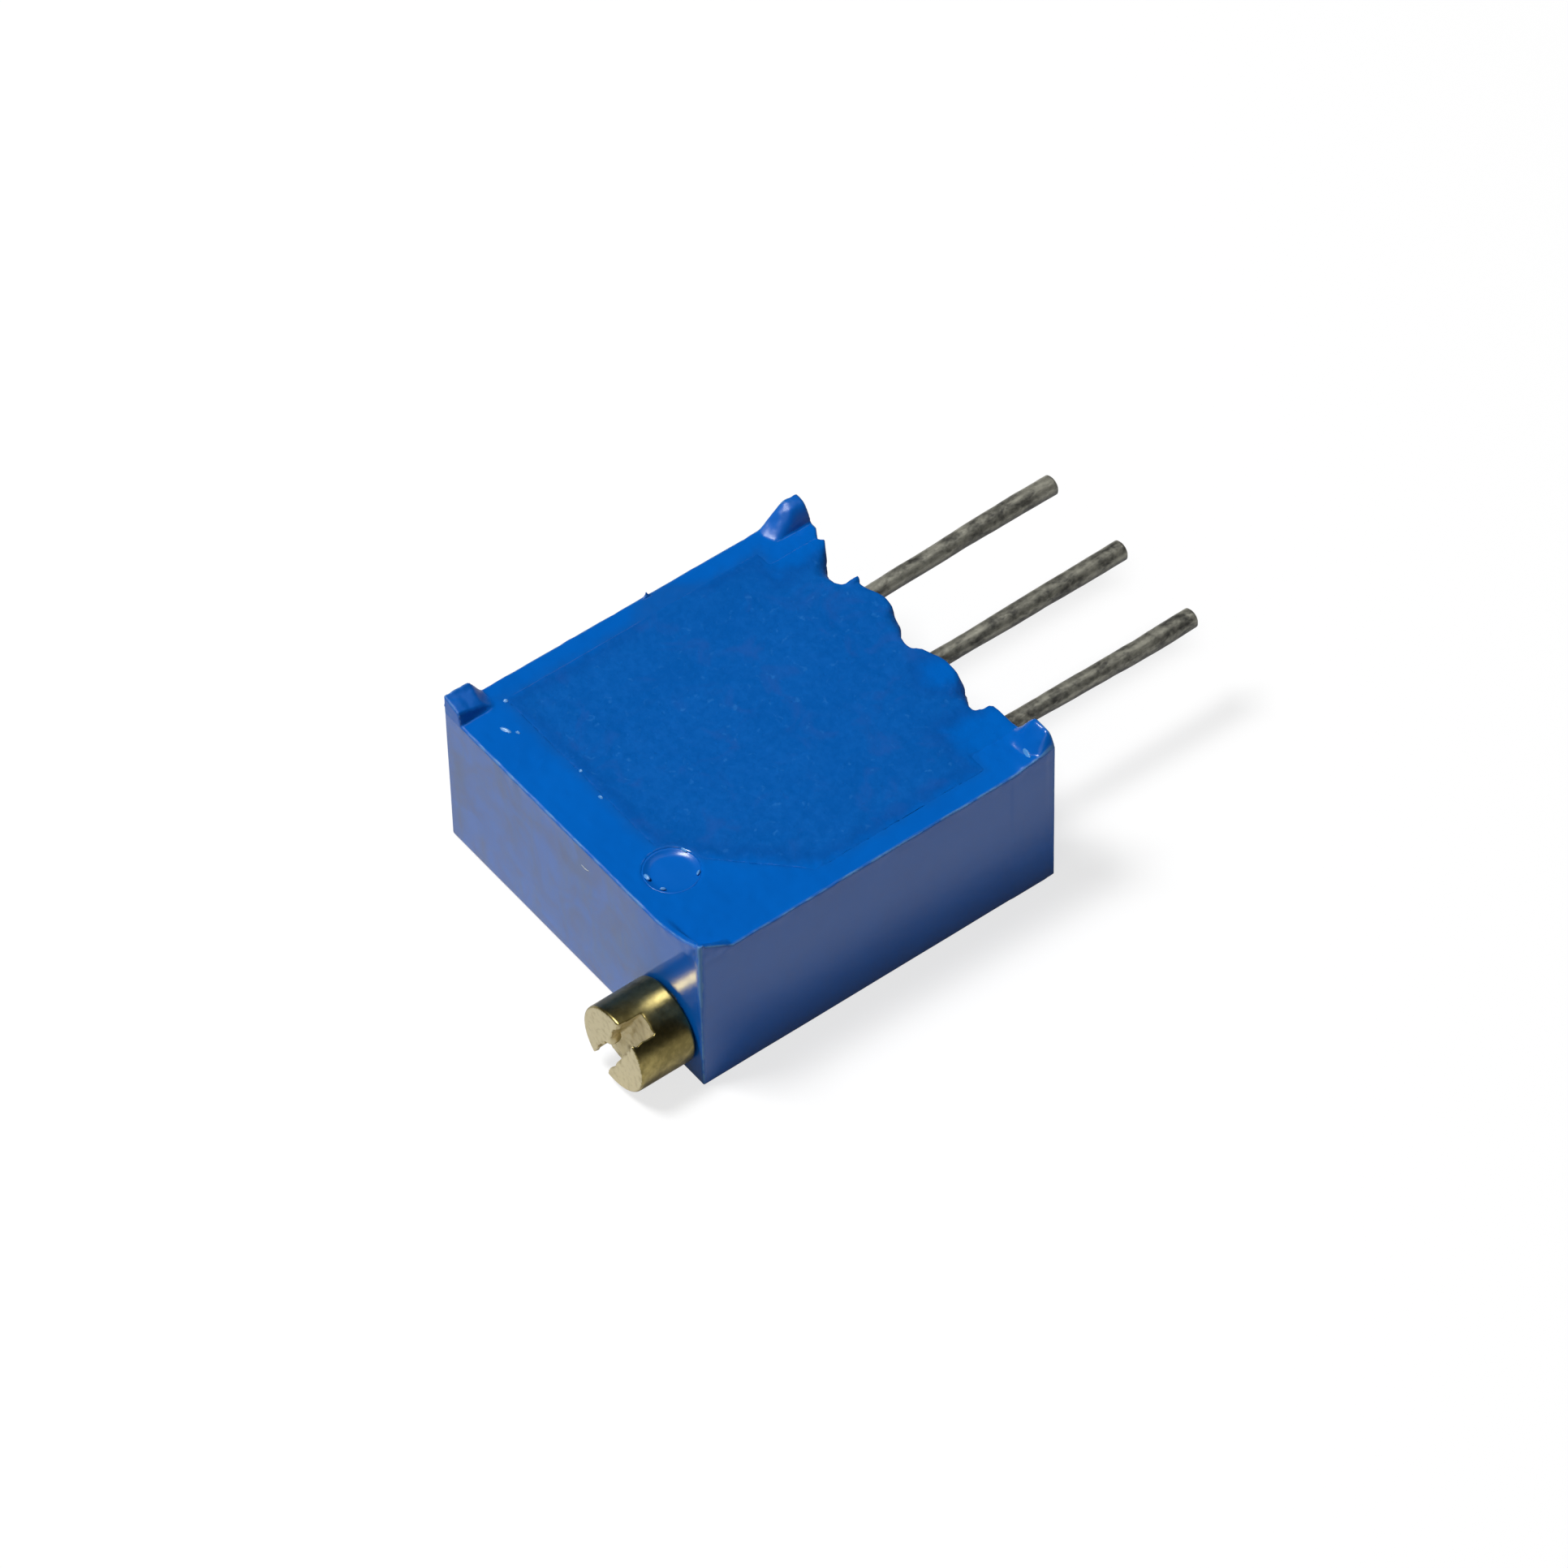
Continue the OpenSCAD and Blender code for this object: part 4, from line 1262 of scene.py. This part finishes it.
@dataclass
class SealPlug:
    """The drop of resin over the retaining pin, in its round mouth."""

    shape: CaseShape
    rim: float = 0.03
    foot_inset: float = 0.02
    side_h: float = 0.2
    brim: float = 0.012
    sunk: float = 0.065
    tilt: float = 0.03
    bowl: float = 0.21
    bowl_steps: int = 8
    flat_steps: int = 5
    top_h: float = 0.15
    ripple: float = 0.01
    sides: int = 72
    uneven: Unevenness = Unevenness(31, 0.4, 2)
    finish: MouldedBlue = MouldedBlue(polish=0.24)

    def build(self) -> bpy.types.Object:
        """Makes the plug: a turned disc that sinks from its rim, a little tilted and uneven.

        Returns:
            The piece.
        """
        s = self.shape
        r, flat = s.seal_r + self.rim, s.seal_r - self.bowl
        lip, top = r - self.rim, s.back - self.brim
        foot = (s.seal_r - self.foot_inset, corners("pin_sealant")[0][2])
        line = [foot, (r, s.back - self.side_h), (r, s.back - self.rim)]
        shares = [k / self.bowl_steps for k in range(self.bowl_steps + 1)]
        line += [(lip - (lip - flat) * t, top - self.sunk * (1 - (1 - t) ** 2)) for t in shares]
        inwards = range(self.flat_steps - 1, 0, -1)
        line += [(flat * k / self.flat_steps, top - self.sunk) for k in inwards]
        places, faces = turned(line, self.sides)
        x, y, z = places.T
        inner = near(np.hypot(x, y), (r, flat)) * (z > s.back - self.top_h)
        places[:, 2] += inner * (self.tilt * x / r + self.ripple * self.uneven(x, y, 0 * z))
        places += (s.seal[0], s.seal[1], 0)
        place = Place("case", ("pin_sealant",), "potting_resin")
        finish = self.finish.material("seal_blue")
        return add_piece("seal_plug", (places, faces), place, finish, flat_measures(len(places)))


def flat_measures(count: int) -> dict[str, Array]:
    """The moulded finish's measures for a piece with no film, smudges, wear or painted edge
    highlight.
    """
    return {"matt": -np.ones(count), "flank": np.zeros(count), "worn": np.zeros(count)}


def swung(u: Array, v: Array, turn: float) -> tuple[Array, Array]:
    """Turns places in a plane, anticlockwise and in radians."""
    return u * math.cos(turn) - v * math.sin(turn), u * math.sin(turn) + v * math.cos(turn)


def tube_faces(rings: int, sides: int) -> list[tuple[int, ...]]:
    """Joins rings of corners into a tube, closed at both ends.

    Args:
        rings: how many rings there are.
        sides: how many corners each ring has, anticlockwise seen from the last ring.

    Returns:
        The corner numbers of each face.
    """
    faces = []
    for k in range(rings - 1):
        a, b = k * sides, (k + 1) * sides
        faces += [(a + i, a + (i + 1) % sides, b + (i + 1) % sides, b + i) for i in range(sides)]
    last = (rings - 1) * sides
    return faces + [tuple(range(sides))[::-1], tuple(range(last, last + sides))]


def turned(line: list[Pair], sides: int) -> Mesh:
    """Turns a line of radius and height round Z, closed at both ends.

    Args:
        line: radius and height of each ring, from the bottom up.
        sides: how many sides each ring has.

    Returns:
        Corner places and faces.
    """
    angles = np.linspace(0, 2 * math.pi, sides, endpoint=False)
    places = np.array([(r * math.cos(a), r * math.sin(a), h) for r, h in line for a in angles])
    return places, tube_faces(len(line), sides)


def dome(height: float, rings: int, sides: int) -> Mesh:
    """Makes a low round dome of radius 1, whose skirt goes under the ground.

    Args:
        height: its height.
        rings: how many rings it has.
        sides: how many sides each ring has.

    Returns:
        Corner places and faces.
    """
    tilts = np.linspace(DOME_TILTS[0], DOME_TILTS[1], rings)
    return turned([(math.cos(t), math.sin(t) * height) for t in tilts], sides)


@dataclass
class BrassScrew:
    """The adjusting screw: slotted head with a torn burr, grooved journal, worm and tail."""

    slot_turn: float = math.radians(61)
    slot_w: float = 0.56
    slot_d: float = 0.76
    slot_floor_r: float = 0.04
    slot_lip_r: float = 0.03
    choked: float = 0.13
    swarf: float = 0.17
    swarf_reach: Pair = (-0.2, 0.9)
    floor_rough: float = 0.05
    wall_rough: float = 0.09
    wall_rough_l: float = 0.6
    lump_at: Triple = (0.05, 0.22, 0.14)
    lump_squash: Triple = (0.7, 1, 0.6)
    lump_r: float = 0.14
    lump_rough: float = 0.06
    lump_fillet: float = 0.05
    dent_depth: float = 0.004
    edge_r: float = 0.07
    head_l: float = 1.52
    journal_r: float = 0.8
    core_r: float = 0.399
    core_over: float = 0.1
    tip_r: float = 0.757
    pitch_r: float = 0.6
    pitch: float = 0.55
    meshed_turn: float = 0.25
    play: float = 0.02
    pressure_angle: float = math.radians(20)
    tail_r: float = 0.38
    tail_l: float = 0.7
    grooves: tuple[Triple, ...] = ((-4.495, -3.195, 0.65), (-2.935, -2.515, 0.47))
    journal_end: float = -2.255
    journal_over: float = 0.2
    worm: Pair = (-2.1175, 1.8825)
    cut_over: float = 0.04
    cut_inset: float = 0.03
    margin: float = 0.05
    burr: Unevenness = Unevenness(41, 0.16, 3)
    dents: Unevenness = Unevenness(42, 0.5, 2)

    def __post_init__(self) -> None:
        """Reads the screw's place from the frame."""
        self.low, self.high = corners("adjustment_screw")
        self.centre = (self.low + self.high) / 2
        self.head_r = radius_of("adjustment_screw")
        self.head_end = self.low[1] + self.head_l
        self.mesh_point = middle("rotor")[1]

    def axes(self) -> tuple[Array, Array, Array]:
        """Sets the sample places, closest together in the head.

        Returns:
            The places along X, Y and Z.
        """
        reach = self.head_r + self.margin
        round_axis = axis(-reach, (reach, 0.026))
        return (
            self.centre[0] + round_axis,
            axis(self.low[1] - self.margin, (self.low[1] + 0.2, 0.025),
                 (self.head_end - 0.1, 0.05), (self.head_end + SPARE, 0.025),
                 (self.journal_end, 0.08), (self.high[1] + self.margin, 0.055)),
            self.centre[2] + round_axis,
        )

    def build(self) -> bpy.types.Object:
        """Makes the screw and its finish.

        Returns:
            The piece.
        """
        axes = self.axes()
        x, y, z = crossing(axes)
        u, v = x - self.centre[0], z - self.centre[2]
        r = np.hypot(u, v)
        side = r - self.head_r + self.dent_depth * self.dents(x, y, z)
        head = meet(side, band(y, self.low[1], self.head_end) + 0 * r, self.edge_r)
        head = cut(head, self._slot(u, v, y), self.slot_lip_r)
        shaft_start = self.head_end - self.journal_over
        shaft = np.maximum(r - self.journal_r, band(y, shaft_start, self.journal_end))
        for start, end, groove_r in self.grooves:
            shaft = np.maximum(shaft, -np.maximum(groove_r - r, band(y, start, end)))
        core_ends = band(y, self.journal_end - self.core_over, self.high[1] - self.tail_l)
        core = np.maximum(r - self.core_r, core_ends)
        tail = np.maximum(r - self.tail_r, band(y, self.journal_end, self.high[1]))
        solid = np.minimum(np.minimum(head, shaft), np.minimum(core, tail))
        mesh = skin(np.minimum(solid, self._thread(u, v, y, r)), axes)
        offset = mesh[0] - (self.centre[0], self.low[1], self.centre[2])
        radius = np.hypot(offset[:, 0], offset[:, 2])
        in_slot = offset[:, 1] < self.slot_d + self.cut_over
        measures = {"cut": (in_slot & (radius < self.head_r - self.cut_inset)) * 1.0}
        place = Place("screw", ("adjustment_screw",), "turned_brass")
        finish = TurnedBrass().material("turned_brass")
        return add_piece("brass_screw", mesh, place, finish, measures)

    def _slot(self, u: Array, v: Array, y: Array) -> Array:
        """Shapes the driver slot, with ragged walls and a burr left standing in it.

        Args:
            u: distance from the screw's axis across the body.
            v: distance from the screw's axis above it.
            y: places along the body.

        Returns:
            The slot's field, below 0 inside it.
        """
        cos_t, sin_t = math.cos(self.slot_turn), math.sin(self.slot_turn)
        along, across = u * cos_t + v * sin_t, v * cos_t - u * sin_t
        depth = y - self.low[1]
        rough = self.burr(along, across, depth)
        ragged = self.wall_rough * rough * near(depth, (self.wall_rough_l, 0))
        walls = np.abs(across) - self.slot_w / 2 + ragged
        swarf = self.swarf * ramp(-along, *self.swarf_reach) + self.floor_rough * rough
        floor = self.slot_d - self.choked - swarf
        slot = meet(walls + 0 * depth, depth - floor, self.slot_floor_r)
        offsets = zip((along, across, depth), self.lump_at, self.lump_squash)
        from_lump = np.sqrt(sum((squash * (place - at)) ** 2 for place, at, squash in offsets))
        return cut(slot, from_lump - self.lump_r + self.lump_rough * rough, self.lump_fillet)

    def _thread(self, u: Array, v: Array, y: Array, r: Array) -> Array:
        """Shapes the worm's thread, which runs out at both ends.

        Args:
            u: distance from the screw's axis across the body.
            v: distance from the screw's axis above it.
            y: places along the body.
            r: distance from the screw's axis.

        Returns:
            The thread's field, below 0 inside it.
        """
        start, end = self.worm
        turn = np.arctan2(u, v) / (2 * math.pi) + self.meshed_turn
        phase = (y - self.mesh_point) / self.pitch - turn
        offset = (phase - np.round(phase)) * self.pitch
        fade = np.clip(np.minimum(y - start, end - y) / (self.pitch / 2), 0, 1)
        tip = self.core_r + (self.tip_r - self.core_r) * fade
        slope = math.tan(self.pressure_angle)
        half = (self.pitch / 2 - self.play) / 2 + (self.pitch_r - r) * slope
        flanks = np.maximum(np.abs(offset) - half, r - tip)
        return np.maximum(flanks, band(y, start, end))


@dataclass
class WirePin:
    """One pin: a wire under a lumpy coat of solder, cut off at its tip."""

    node: str
    seed: int
    bend: Pair
    sides: int = 40
    rings: int = 190
    cells: Triple = (0.9, 0.28, 2.2)
    turns: Pair = (0.3, 0.2)
    lump: float = 0.045
    fine_lump: float = 0.6
    most: float = 1.04
    sway: float = 0.03
    sway_shift: float = 9.0
    thin: float = 0.12
    thin_reach: Pair = (2.2, 0.9)
    edge: float = 0.05
    foot_l: float = 1.25
    resin_l: float = 0.5
    free_l: float = 1.6
    # Painted shade: which side of the pin is darkened, and how far round it the shade reaches.
    shaded_side: Pair = (0.6, -0.8)
    shade_reach: Pair = (0.1, 0.9)

    def build(self, material: bpy.types.Material) -> bpy.types.Object:
        """Makes the pin from inside the resin to its tip.

        Args:
            material: the finish of all three pins.

        Returns:
            The piece.
        """
        low, high = corners(self.node)
        radius = (high[2] - low[2]) / 2
        start, end = low[1] + self.foot_l, high[1]
        coarse, fine, drift = (Unevenness(self.seed + k, c) for k, c in enumerate(self.cells))
        angles = np.linspace(0, 2 * math.pi, self.sides, endpoint=False)
        across, up = np.cos(angles), np.sin(angles)
        y = (start + (end - start) * np.arange(self.rings + 1) / self.rings)[:, None]
        free = ramp(y, start + self.resin_l, start + self.free_l)
        lumps = coarse(across * self.turns[0], y, up * self.turns[0])
        lumps = lumps + self.fine_lump * fine(across * self.turns[1], y, up * self.turns[1])
        coat = ramp(y, start + self.thin_reach[0], end - self.thin_reach[1])
        swell = 1 + free * self.lump * lumps - self.thin * (1 - coat)
        tip = np.maximum(0, 1 - (end - y) / self.edge)
        rounding = self.edge * (1 - np.sqrt(np.maximum(0, 1 - tip**2)))
        r = np.minimum(radius * swell, radius * self.most) - rounding
        out = ramp(y, start + self.resin_l, end)
        off_x, off_z = (
            out * bent + free * self.sway * drift(shift + 0 * y, y, 0 * y)
            for shift, bent in zip((0.0, self.sway_shift), self.bend)
        )
        x = (low[0] + high[0]) / 2 + off_x + r * across
        z = high[2] - radius + off_z + r * up
        places = np.stack([x, y + 0 * r, z], 2).reshape(-1, 3)
        faces = [face[::-1] for face in tube_faces(self.rings + 1, self.sides)]
        # Painted shade: the side facing +X and down, away from the key lamp, is marked for the
        # wire's dark shade colour.
        facing = self.shaded_side[0] * across + self.shaded_side[1] * up
        measures = {"under": np.tile(ramp(facing, *self.shade_reach), self.rings + 1)}
        place = Place("case", (self.node,), "tinned_wire")
        return add_piece(self.node + "_wire", (places, faces), place, material, measures)


@dataclass(frozen=True)
class Bead:
    """A small flattened drop of resin: its place, half sizes and turn on the back."""

    x: float
    y: float
    long: float
    short: float
    turn: float = 0.0


@dataclass
class ResinBeads:
    """Small drops of resin that stand on the back of the case."""

    shape: CaseShape
    beads: tuple[Bead, ...] = (
        Bead(-3.43, -4.28, 0.15, 0.05, 0.4),
        Bead(-3.2, -4.11, 0.06, 0.03, 0.4),
        Bead(-1.4, -3.68, 0.05, 0.04, 0.4),
        Bead(-0.5, -3.8, 0.07, 0.035, 0.3),
        Bead(-4.15, -3.75, 0.06, 0.045, 0.8),
        Bead(2.02, -4.4, 0.1, 0.05, 0.0),
        Bead(2.52, -4.33, 0.07, 0.03, 0.9),
        Bead(1.9, -3.27, 0.09, 0.035, 0.2),
        Bead(2.62, -3.42, 0.08, 0.035, -1.0),
        Bead(4.45, 4.45, 0.16, 0.045, -0.13),
    )
    height: float = 0.03
    lean: float = 0.8
    rings: int = 6
    sides: int = 20
    # Painted glint: the beads' paler, whiter blue stands in for the glints they catch.
    finish: MouldedBlue = MouldedBlue((0.06, 0.27, 0.64), (0.12, 0.33, 0.7), polish=0.32)

    def build(self) -> bpy.types.Object:
        """Makes all the drops as one piece.

        Returns:
            The piece.
        """
        places, faces = [], []
        for k, bead in enumerate(self.beads):
            own, own_faces = dome(self.height, self.rings, self.sides)
            x, y = swung(own[:, 0] * bead.long, own[:, 1] * bead.short, bead.turn)
            x, y = x + bead.x, y + bead.y
            z = own[:, 2] * (1 + self.lean * own[:, 1]) + self.shape.surface(x, y)
            places.append(np.stack([x, y, z], 1))
            faces += [tuple(i + k * len(own) for i in face) for face in own_faces]
        joined = np.concatenate(places)
        place = Place("case", (), "potting_resin")
        finish = self.finish.material("bead_glint_blue")
        return add_piece("resin_beads", (joined, faces), place, finish, flat_measures(len(joined)))


@dataclass
class Nick:
    """A short raised sliver, scraped up on the screw's face of the case."""

    x: float = 0.52
    z: float = 3.63
    long: float = 0.15
    short: float = 0.016
    height: float = 0.014
    turn: float = 0.12
    arch: float = 0.02
    rings: int = 5
    sides: int = 16
    finish: MouldedBlue = MouldedBlue((0.5, 0.52, 0.5), (0.4, 0.45, 0.5))

    def build(self) -> bpy.types.Object:
        """Makes the sliver.

        Returns:
            The piece.
        """
        own, faces = dome(self.height, self.rings, self.sides)
        arched = own[:, 1] * self.short + self.arch * own[:, 0] ** 2
        u, v = swung(own[:, 0] * self.long, arched, self.turn)
        face = corners("housing")[0][1]
        places = np.stack([self.x + u, face - own[:, 2], self.z + v], 1)
        place = Place("case", (), "moulded_body")
        finish = self.finish.material("scraped_blue")
        return add_piece("nick", (places, faces), place, finish, flat_measures(len(places)))


def dress_inner_nodes() -> None:
    """Gives every node that is still shown the finish of its slot."""
    made = {}
    for part in frame["record"]["subparts"]:
        node = frame["nodes"][part["node"]]
        slot = part["material_slot"]
        if node.hide_render or slot not in INNER_FINISHES:
            continue
        if slot not in made:
            made[slot] = INNER_FINISHES[slot].material(slot)
        node.data.materials.clear()
        node.data.materials.append(made[slot])
        log.info("%s: kept, dressed as %s", part["node"], slot)


# ------------------------------------------------------------------ studio


@dataclass(frozen=True)
class Lamp:
    """A soft square lamp: its place, its side and its light, where 1 makes white look white."""

    name: str
    place: Triple
    side: float
    share: float

    def build(self, aim: Vector) -> None:
        """Adds the lamp.

        Args:
            aim: the place that it faces, in millimetres.
        """
        away = (Vector(self.place) - aim) * MM
        data = bpy.data.lights.new(self.name, "AREA")
        data.size = self.side * MM
        data.energy = self.share * math.pi**2 * away.length_squared
        lamp = bpy.data.objects.new(self.name, data)
        lamp.location = Vector(self.place) * MM
        lamp.rotation_euler = away.to_track_quat("Z", "Y").to_euler()
        bpy.context.scene.collection.objects.link(lamp)


@dataclass
class Studio:
    """Floor, lamps and camera."""

    azimuth: float = 53.526
    elevation: float = 48.934
    roll: float = -1.432
    distance: float = 204.88
    lens: float = 207.4
    sensor: float = 36.0
    seen_from: float = 0.001
    seen_to: float = 10.0
    aim: Triple = (0.427, 0.629, 2.4)
    floor_size: float = 1600.0
    floor_drop: float = 0.01
    floor_seen: float = 1.0
    floor_cast: float = 0.62
    floor_glow: float = 1.02
    floor_lift: float = 0.72
    floor_gloss: float = 0.1
    floor_shine: float = 0.3
    sky: float = 0.015
    lamps: tuple[Lamp, ...] = (
        Lamp("key", (-110, -150, 420), side=130, share=1.0),
        Lamp("fill", (250, -380, 400), side=320, share=0.08),
        Lamp("top", (20, 200, 460), side=260, share=0.05),
    )

    def build(self) -> None:
        """Makes the whole studio."""
        self._floor()
        self._world()
        for lamp in self.lamps:
            lamp.build(Vector(self.aim))
        self._camera()

    def _floor(self) -> None:
        """Lays a pale floor that can be seen only from above."""
        half = self.floor_size * MM / 2
        data = bpy.data.meshes.new("floor")
        rim = [(-half, -half, 0), (half, -half, 0), (half, half, 0), (-half, half, 0)]
        data.from_pydata(rim, [], [(0, 1, 2, 3)])
        floor = bpy.data.objects.new("floor", data)
        floor.location.z = -self.floor_drop * MM
        bpy.context.scene.collection.objects.link(floor)
        r = Recipe(bpy.data.materials.new("pale_floor"))
        by_camera = r.add("ShaderNodeLightPath", {}, {}, "Is Camera Ray")
        in_gloss = by_camera.beside("Is Glossy Ray")
        through = by_camera.beside("Is Transmission Ray")
        seen = by_camera + in_gloss * self.floor_shine + through
        colour = r.mix(seen, (self.floor_cast,) * 3, (self.floor_seen,) * 3)
        diffuse = r.add("ShaderNodeBsdfDiffuse", {}, {"Color": colour})
        lit = r.add("ShaderNodeEmission", {}, {"Color": (1, 1, 1), "Strength": self.floor_glow})
        lifted = (by_camera + through) * self.floor_lift + in_gloss * self.floor_gloss
        above = r.add("ShaderNodeMixShader", {}, {0: lifted, 1: diffuse, 2: lit})
        clear = r.add("ShaderNodeBsdfTransparent", {}, {})
        below = r.add("ShaderNodeNewGeometry", {}, {}, "Backfacing")
        one_sided = r.add("ShaderNodeMixShader", {}, {0: below, 1: above, 2: clear})
        r.add("ShaderNodeOutputMaterial", {}, {"Surface": one_sided})
        data.materials.append(r.owner)

    def _world(self) -> None:
        """Sets an even, dim sky that the camera sees as white."""
        r = Recipe(bpy.data.worlds.new("sky"))
        bpy.context.scene.world = r.owner
        by_camera = r.add("ShaderNodeLightPath", {}, {}, "Is Camera Ray")
        strength = by_camera * (1 - self.sky) + self.sky
        background = r.add("ShaderNodeBackground", {}, {"Color": (1, 1, 1), "Strength": strength})
        r.add("ShaderNodeOutputWorld", {}, {"Surface": background})

    def _camera(self) -> None:
        """Sets the camera by its turn, height, roll and distance."""
        a, e, roll = (math.radians(v) for v in (self.azimuth, self.elevation, self.roll))
        back = Vector((math.sin(a) * math.cos(e), -math.cos(a) * math.cos(e), math.sin(e)))
        right = Vector((math.cos(a), math.sin(a), 0))
        up = back.cross(right)
        turned_right = right * math.cos(roll) + up * math.sin(roll)
        turned_up = up * math.cos(roll) - right * math.sin(roll)
        data = bpy.data.cameras.new("camera")
        data.lens, data.sensor_width = self.lens, self.sensor
        data.clip_start, data.clip_end = self.seen_from, self.seen_to
        camera = bpy.data.objects.new("camera", data)
        turn = Matrix((turned_right, turned_up, back)).transposed().to_4x4()
        stand = (Vector(self.aim) + back * self.distance) * MM
        camera.matrix_world = Matrix.Translation(stand) @ turn
        bpy.context.scene.collection.objects.link(camera)
        bpy.context.scene.camera = camera


def main() -> None:
    """Builds every piece in order, then the studio."""
    logging.basicConfig(level=logging.INFO, format="%(message)s")
    bpy.context.scene.view_settings.view_transform = "Standard"
    shape = CaseShape()
    MouldedBody(shape).build()
    CastResin(shape).build()
    SealPlug(shape).build()
    ResinBeads(shape).build()
    Nick().build()
    BrassScrew().build()
    wire = TinnedWire().material("tinned_wire")
    WirePin("left_pin", 51, (0.0, 0.1)).build(wire)
    WirePin("centre_pin", 61, (0.0, 0.06)).build(wire)
    WirePin("right_pin", 71, (0.05, -0.05)).build(wire)
    dress_inner_nodes()
    Studio().build()


if __name__ == "__main__":
    main()
